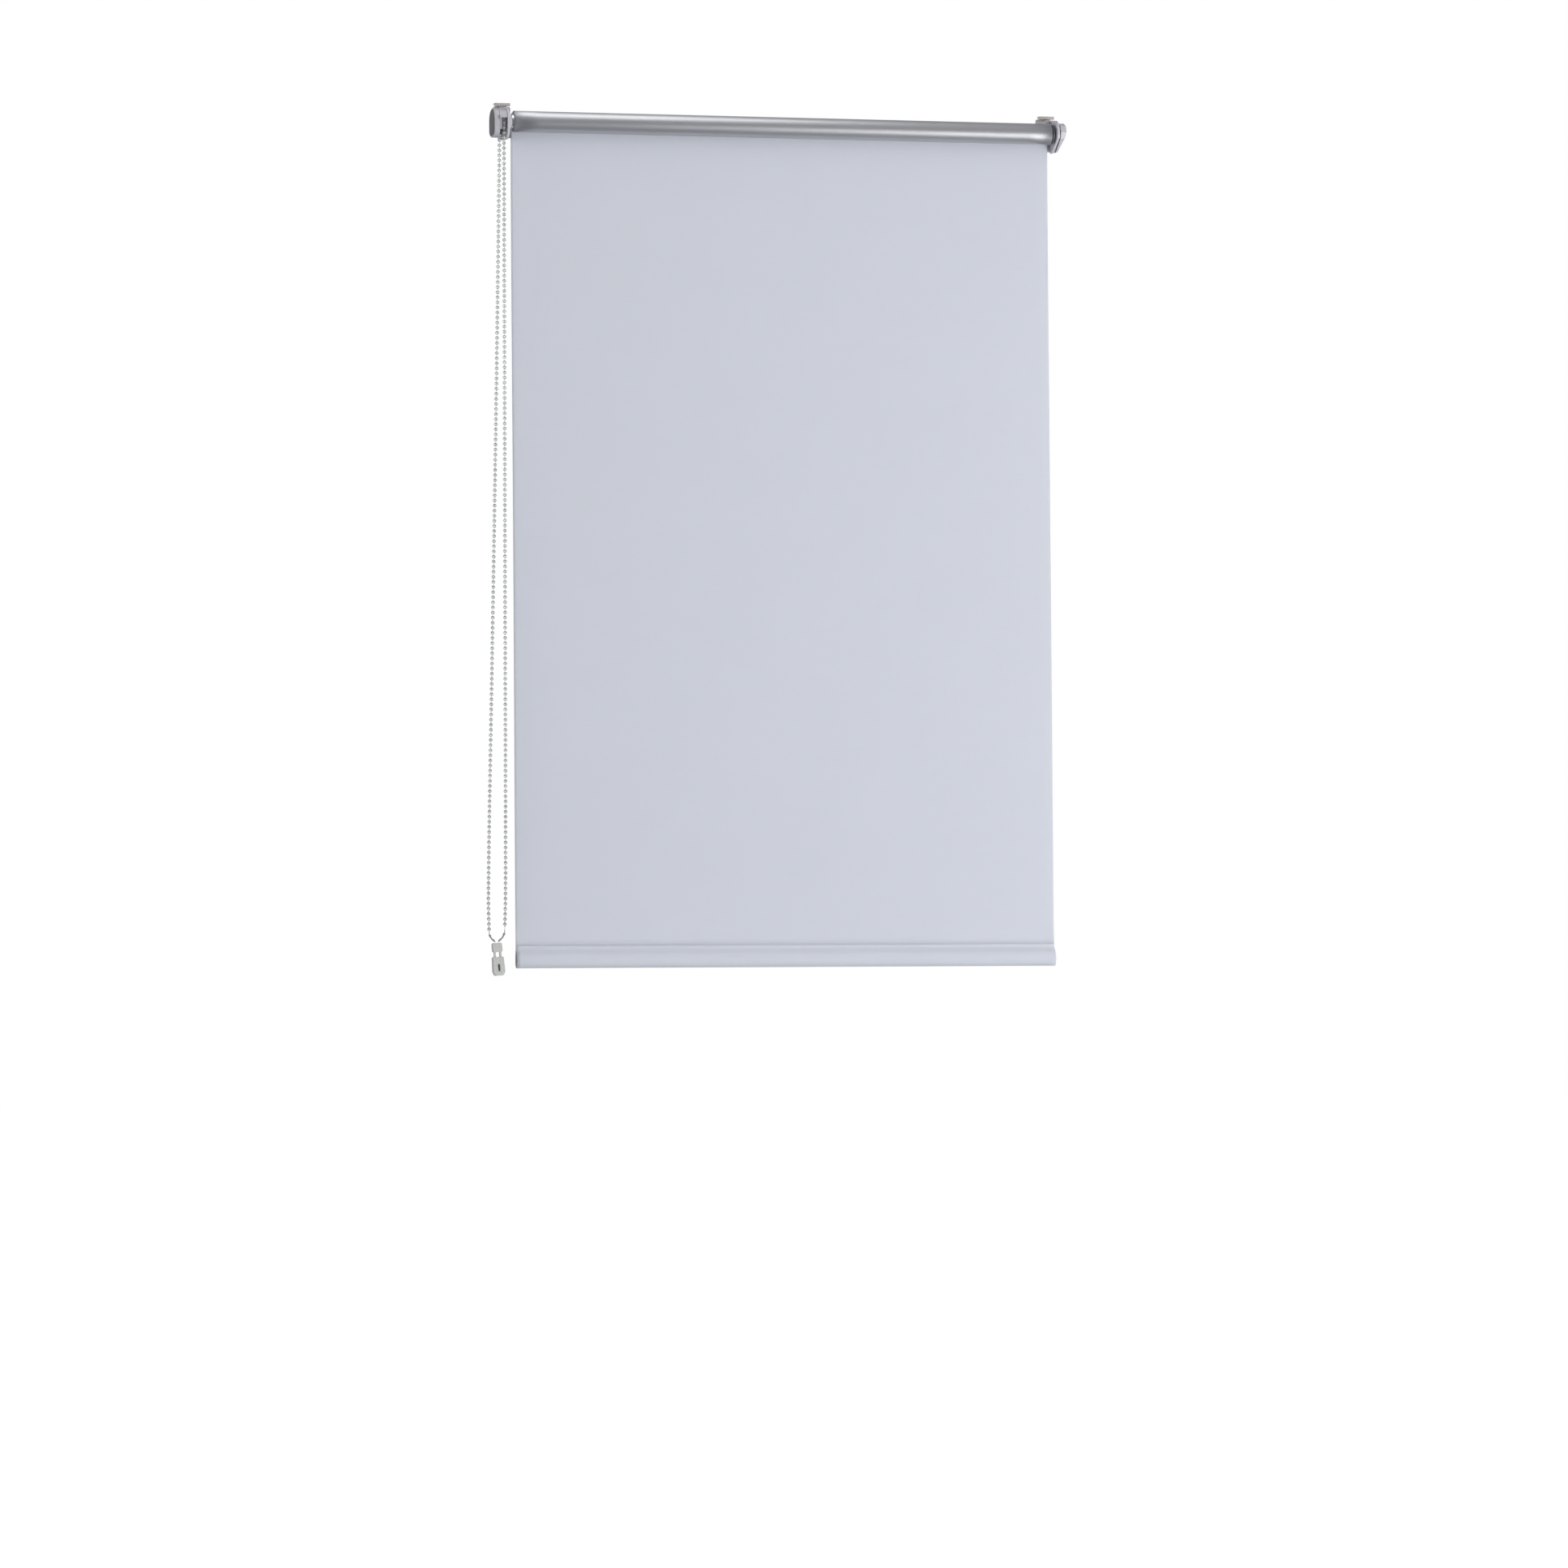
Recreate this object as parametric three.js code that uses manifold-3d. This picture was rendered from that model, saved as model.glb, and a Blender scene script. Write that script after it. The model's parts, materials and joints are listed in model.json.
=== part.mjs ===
// Clamp-on roller blind, modelled as separate pieces at real size.
// Millimetres, +Z up, +Y towards the window, so the room is on the -Y side.
// The origin is midway between the two clamps, where the room face of the sash meets its top.
import * as THREE from 'three';
import { mergeVertices } from 'three/addons/utils/BufferGeometryUtils.js';
import Module from 'manifold-3d';

const wasm = await Module();
wasm.setup();

// ---------------------------------------------------------------- driving dimensions

const GAP = 0.3; // clearance between touching pieces

// Roll: cloth on a thin metal tube, axis along X.
const AXIS_Y = -37;
const AXIS_Z = -22;
const CLOTH_HALF_WIDTH = 330;
const CLOTH = 0.6;
const TUBE_R = 8.5;
const TUBE_WALL = 0.8;
const TUBE_LEFT = -332.4;
const TUBE_RIGHT = 330.6;
const ROLL_R = 12.5;

// Hanging cloth and its weighted hem.
const DROP = 997; // roll axis to the bottom of the hem
const HEM_HEIGHT = 26;
const PANEL_Y = AXIS_Y + ROLL_R + GAP + CLOTH / 2;
const HEM_Z = AXIS_Z - DROP;
const BAR_HALF_LENGTH = 318;

// Clamps over the window sash.
const CLAMP_X = 335;
const CARRIER_HALF_WIDTH = 6.2;
const CARRIER_FRONT = -17.2;
const CARRIER_BACK = -1.2;
const CARRIER_TOP = -2.5;
const CARRIER_BOTTOM = -39.5;
const HOOK_HALF_WIDTH = 6;
const HOOK_FRONT = -16.8;
const HOOK_SHEET = 2;
const TAB_HALF_WIDTH = 4;
const SASH = 18; // sash thickness that the clamp is set to
const CLAMP_SCREW_Z = -6.5;
const CLAMP_SCREW_R = 2;
const FIXING_SCREW_INSET = 3.7; // from the middle of the carrier, towards the cloth
const FIXING_SCREW_TIP = -10;
const FIXING_SCREW_HEIGHTS = { upper: -29, lower: -36.2 };

// Brackets, in the frame of the roll axis.
const PLATE = 2.6;
const LEFT_PLATE_X = -339.6;
const RIGHT_PLATE_X = 334.8;
const PLATE_R = 16.5;
const PLATE_BOTTOM = -21;
const FLANGE_FRONT = 17.5;
const FLANGE_BACK = 19.5;

// Bead chain and sprocket.
const BEAD_R = 2.25;
const BEAD_PITCH = 6;
const SPROCKET_BEADS = 12;
const CHAIN_R = (SPROCKET_BEADS * BEAD_PITCH) / (2 * Math.PI);
const CHAIN_X = -343.4;
const SHAFT_R = 5.6;
const SHAFT_BORE_R = 4.4;

// Drive housing, a drum with a round top and a squarer bottom.
const DRUM_R = 15.5;
const DRUM_BOTTOM = -18.9;
const DRUM_WALL = 1.3;
const HOUSING_LEFT = -348.6;
const HOUSING_RIGHT = LEFT_PLATE_X - GAP;
const COVER_LEFT = -355.2;
const DRIVE_LEFT = -355.8;
const CORE_R = 3.2;

// Chain holder at the bottom of the loop.
const HOLDER_TOP = [-355.8, AXIS_Y, -989];
const HOLDER_LEAN = THREE.MathUtils.degToRad(4);

// ---------------------------------------------------------------- materials

function finish(color, roughness, metalness = 0) {
  return new THREE.MeshStandardMaterial({ color, roughness, metalness });
}

const palePlastic = () => finish('#d9d7dc', 0.45);
const greyPlastic = () => finish('#6d6b73', 0.35);
const clearPlastic = () => finish('#bfc0bd', 0.3);
const beadPlastic = () => finish('#eef0ee', 0.35);
const rubber = () => finish('#4b4a48', 0.85);
const coatedSteel = () => finish('#d8d3cd', 0.4, 0.2);
const zincSteel = () => finish('#b9bcc0', 0.35, 1);
const tubeMetal = () => finish('#c9ccd1', 0.25, 1);
const springSteel = () => finish('#8f9297', 0.3, 1);
const silverBacking = () => finish('#c3c6cb', 0.35, 0.6);
const clothFront = () => finish('#c3c8d4', 0.9);

// ---------------------------------------------------------------- shape helpers

const ALONG_X = new THREE.Matrix4().makeBasis(
  new THREE.Vector3(0, 1, 0),
  new THREE.Vector3(0, 0, 1),
  new THREE.Vector3(1, 0, 0),
);
const ALONG_Y = new THREE.Matrix4().makeBasis(
  new THREE.Vector3(1, 0, 0),
  new THREE.Vector3(0, 0, 1),
  new THREE.Vector3(0, -1, 0),
);

// A (y, z) outline drawn out along X, from x0 to x1.
function extrudeX(shape, x0, x1, curveSegments = 6) {
  const options = { depth: x1 - x0, bevelEnabled: false, curveSegments };
  return new THREE.ExtrudeGeometry(shape, options).applyMatrix4(ALONG_X).translate(x0, 0, 0);
}

// An (x, z) outline drawn out along Y, from y0 to y1.
function extrudeY(shape, y0, y1, curveSegments = 3) {
  const options = { depth: y1 - y0, bevelEnabled: false, curveSegments };
  return new THREE.ExtrudeGeometry(shape, options).applyMatrix4(ALONG_Y).translate(0, y1, 0);
}

function block(x0, x1, y0, y1, z0, z1) {
  const geometry = new THREE.BoxGeometry(x1 - x0, y1 - y0, z1 - z0);
  return geometry.translate((x0 + x1) / 2, (y0 + y1) / 2, (z0 + z1) / 2);
}

// A cylinder along Y.
function rodY(radius, y0, y1, x, z, sides = 16) {
  const geometry = new THREE.CylinderGeometry(radius, radius, y1 - y0, sides);
  return geometry.translate(x, (y0 + y1) / 2, z);
}

// A cylinder along X.
function rodX(radius, x0, x1, y = 0, z = 0, sides = 24) {
  const geometry = new THREE.CylinderGeometry(radius, radius, x1 - x0, sides);
  return geometry.rotateZ(-Math.PI / 2).translate((x0 + x1) / 2, y, z);
}

// A closed profile of [x, radius] points turned about the X axis.
// It runs rightwards along the bore, or the axis, and comes back along the outside.
function turned(profile, sides = 32) {
  const points = profile.map(([x, radius]) => new THREE.Vector2(radius, x)).reverse();
  return new THREE.LatheGeometry(points, sides).rotateZ(-Math.PI / 2);
}

// A turned tube between two radii.
function ring(inner, outer, x0, x1, sides) {
  return turned([[x0, inner], [x1, inner], [x1, outer], [x0, outer], [x0, inner]], sides);
}

function toSolid(geometry) {
  const bare = geometry.clone();
  bare.deleteAttribute('normal');
  bare.deleteAttribute('uv');
  const merged = mergeVertices(bare, 1e-4);
  return new wasm.Manifold(new wasm.Mesh({
    numProp: 3,
    vertProperties: new Float32Array(merged.attributes.position.array),
    triVerts: new Uint32Array(merged.index.array),
  }));
}

function toGeometry(solid) {
  const mesh = solid.getMesh();
  const geometry = new THREE.BufferGeometry();
  geometry.setAttribute('position', new THREE.BufferAttribute(mesh.vertProperties, 3));
  geometry.setIndex(new THREE.BufferAttribute(mesh.triVerts, 1));
  geometry.computeVertexNormals();
  return geometry;
}

function cut(base, ...tools) {
  return toGeometry(tools.reduce((solid, tool) => solid.subtract(toSolid(tool)), toSolid(base)));
}

function join(base, ...parts) {
  return toGeometry(parts.reduce((solid, part) => solid.add(toSolid(part)), toSolid(base)));
}

function overlapOf(first, second) {
  return toGeometry(toSolid(first).intersect(toSolid(second)));
}

function outline(points) {
  return new THREE.Shape(points.map(([a, b]) => new THREE.Vector2(a, b)));
}

function roundedRectangle(a0, a1, b0, b1, radius) {
  const shape = new THREE.Shape();
  shape.moveTo(a0 + radius, b0);
  shape.absarc(a1 - radius, b0 + radius, radius, -Math.PI / 2, 0);
  shape.absarc(a1 - radius, b1 - radius, radius, 0, Math.PI / 2);
  shape.absarc(a0 + radius, b1 - radius, radius, Math.PI / 2, Math.PI);
  shape.absarc(a0 + radius, b0 + radius, radius, Math.PI, Math.PI * 1.5);
  return shape;
}

// A tube of one radius along a list of points.
function tubeAlong(points, radius, steps, sides = 8) {
  const path = new THREE.CatmullRomCurve3(points.map((p) => new THREE.Vector3(...p)));
  return sweep(path, radius, steps, sides);
}

function sweep(path, radius, steps, sides) {
  const section = new THREE.Shape();
  section.absarc(0, 0, radius, 0, Math.PI * 2);
  const options = { extrudePath: path, steps, bevelEnabled: false, curveSegments: sides / 2 };
  return new THREE.ExtrudeGeometry(section, options);
}

// A coil spring's centreline along X.
class Coil extends THREE.Curve {
  constructor(radius, x0, x1, turns) {
    super();
    Object.assign(this, { radius, x0, x1, turns });
  }

  getPoint(t, target = new THREE.Vector3()) {
    const angle = t * this.turns * Math.PI * 2;
    const x = THREE.MathUtils.lerp(this.x0, this.x1, t);
    return target.set(x, this.radius * Math.cos(angle), this.radius * Math.sin(angle));
  }
}

function piece(name, geometry, material) {
  const mesh = new THREE.Mesh(geometry, material);
  mesh.name = name;
  return mesh;
}

// ---------------------------------------------------------------- clamps

// The carrier is a moulded block with a pocket for the hook's tab, open at the top,
// and a lighter, hollow lower half, open at the bottom.
function carrierBlock(side) {
  const pocket = [CARRIER_FRONT + 2.4, CARRIER_BACK - 1.7];
  const body = extrudeY(
    roundedRectangle(-CARRIER_HALF_WIDTH, CARRIER_HALF_WIDTH, CARRIER_BOTTOM, CARRIER_TOP, 2),
    CARRIER_FRONT,
    CARRIER_BACK,
    2,
  );
  return cut(
    body,
    block(-TAB_HALF_WIDTH - GAP, TAB_HALF_WIDTH + GAP, ...pocket, TAB_BOTTOM - 2, 1),
    block(-4.7, 4.7, ...pocket, CARRIER_BOTTOM - 1, TAB_BOTTOM - 4),
    rodY(CLAMP_SCREW_R + GAP, CARRIER_FRONT - 1, pocket[0] + 1, 0, CLAMP_SCREW_Z),
    ...Object.values(FIXING_SCREW_HEIGHTS).map((z) => (
      rodY(1.55, CARRIER_FRONT - 1, FIXING_SCREW_TIP + 1, -side * FIXING_SCREW_INSET, z)
    )),
  );
}

const TAB_BACK = -5.5;
const TAB_BOTTOM = -12;
const LEG_FRONT = SASH + 0.9 + GAP;
const LEG_BOTTOM = -18;
const SEAT_LAND = 0.4;
const SEAT_MARGIN = 1.2;
const BROW_REACH = 12.3;
const BROW_BOTTOM = -1.6;

// The hook is an arm over the sash with a leg behind it and a narrower tab in the carrier.
// The arm's underside has a low land, which is what lies on the sash. Its front widens to
// the left into a brow with a short lip.
function hookStrip() {
  const tabFront = TAB_BACK - HOOK_SHEET;
  const back = LEG_FRONT + HOOK_SHEET;
  const bend = 1.4;
  const strip = new THREE.Shape();
  strip.moveTo(HOOK_FRONT, SEAT_LAND);
  strip.lineTo(SEAT_MARGIN, SEAT_LAND);
  strip.lineTo(SEAT_MARGIN, 0);
  strip.lineTo(SASH - SEAT_MARGIN, 0);
  strip.lineTo(SASH - SEAT_MARGIN, SEAT_LAND);
  strip.lineTo(LEG_FRONT, SEAT_LAND);
  strip.lineTo(LEG_FRONT, LEG_BOTTOM);
  strip.lineTo(back, LEG_BOTTOM);
  strip.lineTo(back, HOOK_SHEET - bend);
  strip.absarc(back - bend, HOOK_SHEET - bend, bend, 0, Math.PI / 2);
  strip.lineTo(HOOK_FRONT, HOOK_SHEET);
  const tab = block(-TAB_HALF_WIDTH, TAB_HALF_WIDTH, tabFront, TAB_BACK, TAB_BOTTOM, 1);
  const right = HOOK_HALF_WIDTH + 0.3;
  const browBack = HOOK_FRONT + 9;
  const brow = block(-BROW_REACH, right, HOOK_FRONT, browBack, SEAT_LAND, HOOK_SHEET);
  const lipBack = HOOK_FRONT + HOOK_SHEET;
  const lip = block(-BROW_REACH, right, HOOK_FRONT, lipBack, BROW_BOTTOM, HOOK_SHEET);
  return cut(
    join(extrudeX(strip, -HOOK_HALF_WIDTH, HOOK_HALF_WIDTH, 4), tab, brow, lip),
    rodY(CLAMP_SCREW_R + GAP, tabFront - 1, TAB_BACK + 1, 0, CLAMP_SCREW_Z),
  );
}

function clampNut() {
  const back = TAB_BACK - HOOK_SHEET - GAP;
  return cut(
    block(-3.5, 3.5, back - 3, back, CLAMP_SCREW_Z - 3.5, CLAMP_SCREW_Z + 3.5),
    rodY(CLAMP_SCREW_R + GAP, back - 4, back + 1, 0, CLAMP_SCREW_Z),
  );
}

// A screw along Y with a cross recess in its head, which faces the room.
function crossScrew(headRadius, headHeight, shankRadius, seat, tip, x, z) {
  const front = seat - headHeight;
  const recess = headRadius * 0.55;
  const depth = front + headHeight * 0.5;
  const body = join(
    rodY(headRadius, front, seat, x, z),
    rodY(shankRadius, seat - 0.5, tip, x, z, 12),
  );
  return cut(
    body,
    block(x - recess, x + recess, front - 1, depth, z - 0.35, z + 0.35),
    block(x - 0.35, x + 0.35, front - 1, depth, z - recess, z + recess),
  );
}

function clamp(side, sideName) {
  const group = new THREE.Group();
  group.position.x = side * CLAMP_X;
  const frontPad = block(-5.8, 5.8, CARRIER_BACK + GAP, 0, -38, -4);
  const rearPad = block(-HOOK_HALF_WIDTH, HOOK_HALF_WIDTH, SASH, SASH + 0.9, -17, -3);
  const seat = CARRIER_FRONT - GAP;
  const clampScrew = crossScrew(2.9, 2.2, CLAMP_SCREW_R, seat, -3.4, 0, CLAMP_SCREW_Z);
  group.add(
    piece(`${sideName}_carrier`, carrierBlock(side), palePlastic()),
    piece(`${sideName}_front_pad`, frontPad, rubber()),
    piece(`${sideName}_hook`, hookStrip(), coatedSteel()),
    piece(`${sideName}_rear_pad`, rearPad, rubber()),
    piece(`${sideName}_clamp_nut`, clampNut(), zincSteel()),
    piece(`${sideName}_clamp_screw`, clampScrew, zincSteel()),
  );
  for (const [place, z] of Object.entries(FIXING_SCREW_HEIGHTS)) {
    const flangeFace = AXIS_Y + FLANGE_FRONT - GAP;
    const screw = crossScrew(1.9, 1.4, 1.25, flangeFace, FIXING_SCREW_TIP, -side * FIXING_SCREW_INSET, z);
    group.add(piece(`${sideName}_${place}_fixing_screw`, screw, zincSteel()));
  }
  return group;
}

// ---------------------------------------------------------------- brackets

// The plate is round about the roll axis, with a squarer heel that runs back to its flange.
function bracketOutline() {
  const shape = new THREE.Shape();
  shape.moveTo(FLANGE_FRONT + 0.5, PLATE_BOTTOM);
  shape.lineTo(FLANGE_FRONT + 0.5, 1);
  shape.absarc(0, 0, PLATE_R, 0.08, Math.PI);
  shape.absarc(-4.5, PLATE_BOTTOM + 12, 12, Math.PI, Math.PI * 1.5);
  return shape;
}

// The right plate runs back to the carrier below the roll.
function rightBracketOutline() {
  const shape = new THREE.Shape();
  shape.moveTo(FLANGE_FRONT + 0.5, PLATE_BOTTOM);
  shape.lineTo(FLANGE_FRONT + 0.5, 1);
  shape.absarc(0, 0, PLATE_R, 0.08, Math.PI * 1.12);
  shape.lineTo(7, PLATE_BOTTOM + 1.2);
  shape.lineTo(10, PLATE_BOTTOM);
  return shape;
}

function bracket(plateOutline, plateLeft, clampX, ...holes) {
  const plate = extrudeX(plateOutline, plateLeft, plateLeft + PLATE, 10);
  const flange = block(
    clampX - CARRIER_HALF_WIDTH,
    clampX + CARRIER_HALF_WIDTH,
    FLANGE_FRONT,
    FLANGE_BACK,
    CARRIER_BOTTOM - AXIS_Z,
    2,
  );
  const screwX = clampX - Math.sign(clampX) * FIXING_SCREW_INSET;
  const screwHoles = Object.values(FIXING_SCREW_HEIGHTS).map((z) => (
    rodY(1.55, FLANGE_FRONT - 1, FLANGE_BACK + 1, screwX, z - AXIS_Z)
  ));
  return cut(join(plate, flange), ...screwHoles, ...holes);
}

// ---------------------------------------------------------------- drive end, left

// Round over the top, straight sides and a squarer bottom, shrunk evenly by inset.
function drumOutline(inset = 0) {
  const radius = DRUM_R - inset;
  const bottom = DRUM_BOTTOM + inset;
  const corner = 9 - inset;
  const shape = new THREE.Shape();
  shape.moveTo(radius - corner, bottom);
  shape.absarc(radius - corner, bottom + corner, corner, -Math.PI / 2, 0);
  shape.absarc(0, 0, radius, 0, Math.PI);
  shape.absarc(corner - radius, bottom + corner, corner, Math.PI, Math.PI * 1.5);
  return shape;
}

// The housing is a cup over the sprocket, open towards the bracket.
// Its window at the front and bottom lets both runs of the chain out.
function driveHousing() {
  return cut(
    extrudeX(drumOutline(), HOUSING_LEFT, HOUSING_RIGHT),
    extrudeX(drumOutline(DRUM_WALL), HOUSING_LEFT + 1.4, HOUSING_RIGHT + 1),
    block(HOUSING_LEFT + 1.4, HOUSING_RIGHT + 1, -17, -6, DRUM_BOTTOM - 1, 2.5),
    block(HOUSING_LEFT - 1, HOUSING_RIGHT + 1, -17, -6, DRUM_BOTTOM - 1, -11),
    block(HOUSING_LEFT + 1.4, HOUSING_RIGHT + 1, -17, DRUM_R - DRUM_WALL, DRUM_BOTTOM - 1, -11),
    rodX(CORE_R + GAP, HOUSING_LEFT - 1, HOUSING_LEFT + 2),
  );
}

// The cover is the drum outside the housing, with a bevelled rim around the end cap.
function driveCover() {
  const bevel = 1;
  const right = HOUSING_LEFT - GAP;
  const options = {
    depth: 20,
    bevelThickness: bevel,
    bevelSize: bevel,
    bevelOffset: -bevel,
    bevelSegments: 1,
    curveSegments: 6,
  };
  const drum = new THREE.ExtrudeGeometry(drumOutline(), options).applyMatrix4(ALONG_X);
  drum.translate(COVER_LEFT + bevel, 0, 0);
  const shell = overlapOf(drum, block(COVER_LEFT - 1, right, -20, 20, -25, 20));
  return cut(
    shell,
    extrudeX(drumOutline(1.6), COVER_LEFT - 1, COVER_LEFT + 1.4),
    rodX(9.3, right - 2.4, right + 1),
    block(-350.7, -349.3, -DRUM_R - 1, -DRUM_R + 1.8, 0.5, 5.5),
  );
}

const FLANGE_RIGHT = HOUSING_LEFT - 0.4;
const CORE_RIGHT = -318;

// The core is the fixed axle that carries the sprocket and the wrap spring.
function clutchCore() {
  return turned([
    [FLANGE_RIGHT - 1.7, 0],
    [CORE_RIGHT - 12, 0],
    [CORE_RIGHT - 12, 1.5],
    [CORE_RIGHT, 1.5],
    [CORE_RIGHT, CORE_R],
    [FLANGE_RIGHT, CORE_R],
    [FLANGE_RIGHT, 8.5],
    [FLANGE_RIGHT - 1.7, 8.5],
    [FLANGE_RIGHT - 1.7, 0],
  ], 24);
}

function coreScrew() {
  return turned([
    [CORE_RIGHT - 10, 0],
    [CORE_RIGHT + 1.8, 0],
    [CORE_RIGHT + 1.8, 4.6],
    [CORE_RIGHT + GAP, 4.6],
    [CORE_RIGHT + GAP, 1.2],
    [CORE_RIGHT - 10, 1.2],
    [CORE_RIGHT - 10, 0],
  ], 20);
}

// The sprocket holds the beads in a round groove, and its hollow shaft turns the tube.
function sprocket() {
  const rim = 12.2;
  const half = 2.8;
  const groove = BEAD_R + GAP;
  const shaftRight = CORE_RIGHT - 1.5;
  const profile = [[CHAIN_X - half, SHAFT_BORE_R], [CHAIN_X - half, rim]];
  profile.push([CHAIN_X - groove, rim]);
  const steps = 8;
  for (let i = 0; i <= steps; i += 1) {
    const angle = (Math.PI * i) / steps;
    const x = CHAIN_X - groove * Math.cos(angle);
    profile.push([x, CHAIN_R - groove * Math.sin(angle)]);
  }
  profile.push([CHAIN_X + groove, rim], [CHAIN_X + half, rim], [CHAIN_X + half, SHAFT_R]);
  profile.push([shaftRight, SHAFT_R], [shaftRight, SHAFT_BORE_R]);
  profile.push([CHAIN_X - half, SHAFT_BORE_R]);
  return turned(profile.reverse(), 32);
}

// The adapter is a sleeve on the sprocket's shaft that drives the tube, with a collar at its end.
function driveAdapter() {
  const bore = SHAFT_R + GAP;
  const sleeve = TUBE_R - TUBE_WALL - GAP;
  return turned([
    [TUBE_LEFT - 2.4, bore],
    [CORE_RIGHT + 4, bore],
    [CORE_RIGHT + 4, sleeve],
    [TUBE_LEFT - GAP, sleeve],
    [TUBE_LEFT - GAP, TUBE_R - 0.2],
    [TUBE_LEFT - 2.4, TUBE_R - 0.2],
    [TUBE_LEFT - 2.4, bore],
  ], 32);
}

// ---------------------------------------------------------------- idle end, right

const PIN_R = 2.3;
const PIN_SHOULDER_R = 3.1;
const PIN_TIP = 338.6;
const PIN_BACK = 324;
const PLUG_LEFT = 312;
const PLUG_RIGHT = RIGHT_PLATE_X - 0.5;
const PLUG_COLLAR_R = 11.8;
const PLUG_BOSS_R = 6.5;

// The plug fills the tube's end and holds the sprung pin in a stepped bore.
// Its collar covers the end of the wound cloth.
function idlePlug() {
  const sleeve = TUBE_R - TUBE_WALL - GAP;
  return turned([
    [PLUG_LEFT, 0],
    [PLUG_LEFT + 4, 0],
    [PLUG_LEFT + 4, PIN_SHOULDER_R + GAP],
    [332.3, PIN_SHOULDER_R + GAP],
    [332.3, PIN_R + GAP],
    [PLUG_RIGHT, PIN_R + GAP],
    [PLUG_RIGHT, PLUG_BOSS_R],
    [TUBE_RIGHT + 1.8, PLUG_BOSS_R],
    [TUBE_RIGHT + 1.8, PLUG_COLLAR_R],
    [TUBE_RIGHT + GAP, PLUG_COLLAR_R],
    [TUBE_RIGHT + GAP, sleeve],
    [PLUG_LEFT, sleeve],
    [PLUG_LEFT, 0],
  ], 32);
}

function idlePin() {
  return turned([
    [PIN_BACK, 0],
    [PIN_TIP, 0],
    [PIN_TIP, PIN_R - 0.6],
    [PIN_TIP - 0.6, PIN_R],
    [330, PIN_R],
    [330, PIN_SHOULDER_R],
    [PIN_BACK, PIN_SHOULDER_R],
    [PIN_BACK, 0],
  ], 20);
}

const PEGS = [
  { y: -8, z: 5, root: 345 },
  { y: -4, z: -8, root: 342.9 },
  { y: 9, z: -12, root: 341.9 },
];
const RIGHT_COVER = [339, 346];

// The end cover has flat facets and thins towards its foot. Three pegs plug into the bracket.
function rightCover() {
  const facets = outline([
    [16, -12], [15, 5], [9.5, 11.5], [-4, 12.8], [-12.4, 8.8], [-15.8, 1], [-13.6, -6.5], [5, -20.5],
    [14, -20.5],
  ]);
  const hollow = outline([
    [14.3, -11.6], [13.4, 4.4], [8.7, 10], [-3.8, 11.2], [-11.2, 7.7], [-14.1, 0.9],
    [-12.1, -5.7], [5.6, -18.9], [12.9, -18.9],
  ]);
  const foot = outline([[350, -30], [350, 4], [346.6, 4], [340.4, -21.5], [340.4, -30]]);
  const footCut = extrudeY(foot, -20, 20);
  const shell = cut(extrudeX(facets, ...RIGHT_COVER), footCut);
  const innerFoot = footCut.clone().translate(-1.5, 0, 0);
  const cavity = cut(extrudeX(hollow, RIGHT_COVER[0] - 1, RIGHT_COVER[1] - 1.5), innerFoot);
  const pegs = PEGS.map(({ y, z, root }) => rodX(1.5, RIGHT_PLATE_X + 0.4, root, y, z, 10));
  return join(cut(shell, cavity), ...pegs);
}

// ---------------------------------------------------------------- hem

// The pocket is one loop of cloth, sewn together at the top, bulging towards the room.
function pocketOutline() {
  const shape = outline([[-CLOTH, HEM_HEIGHT], [-CLOTH, 22.4]]);
  shape.splineThru([
    [-2.2, 20.4], [-6.6, 15.8], [-8.5, 9.5], [-7, 3], [-2.6, 0],
    [1.4, 3], [2.5, 9.5], [1.7, 16], [CLOTH, 21.4],
  ].map((p) => new THREE.Vector2(...p)));
  shape.lineTo(CLOTH, HEM_HEIGHT);
  const hollow = new THREE.Path();
  hollow.moveTo(0, 20.8);
  hollow.splineThru([
    [-1.9, 19.7], [-6.1, 15.4], [-7.9, 9.5], [-6.5, 3.4], [-2.6, 0.6],
    [0.9, 3.4], [1.9, 9.5], [1.1, 15.8], [0, 20.8],
  ].map((p) => new THREE.Vector2(...p)));
  shape.holes.push(hollow);
  return shape;
}

function barOutline(inset = 0) {
  const half = 3.4 - inset;
  return roundedRectangle(-2.8 - half, -2.8 + half, 2.2 + inset, 17 - inset, half - 0.001);
}

function hemCap(side) {
  const face = side * (BAR_HALF_LENGTH + GAP);
  const outer = face + side * 2.7;
  const inner = face - side * 10;
  const span = (a, b) => [Math.min(a, b), Math.max(a, b)];
  return join(
    extrudeX(barOutline(), ...span(face, outer), 4),
    extrudeX(barOutline(1.2), ...span(inner, face + side * 0.5), 4),
  );
}

// ---------------------------------------------------------------- chain holder

const STEM = { inner: 2.2, outer: 4.6, half: 1.5, bottom: -20 };
const SLIDER_HEIGHT = 11;
const BODY_TOP = -16.5;
const BODY_BOTTOM = -38.5;

// The slider takes both ends of the chain in its mouth and runs on two stems.
function holderSlider() {
  const head = extrudeY(roundedRectangle(-5.6, 5.6, -SLIDER_HEIGHT, 0, 2.2), -4, 4);
  const stems = [-1, 1].map((side) => block(
    Math.min(side * STEM.inner, side * STEM.outer),
    Math.max(side * STEM.inner, side * STEM.outer),
    -STEM.half,
    STEM.half,
    STEM.bottom,
    0.5 - SLIDER_HEIGHT,
  ));
  return cut(join(head, ...stems), block(-4.4, 4.4, -2.6, 2.6, -6, 1));
}

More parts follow.
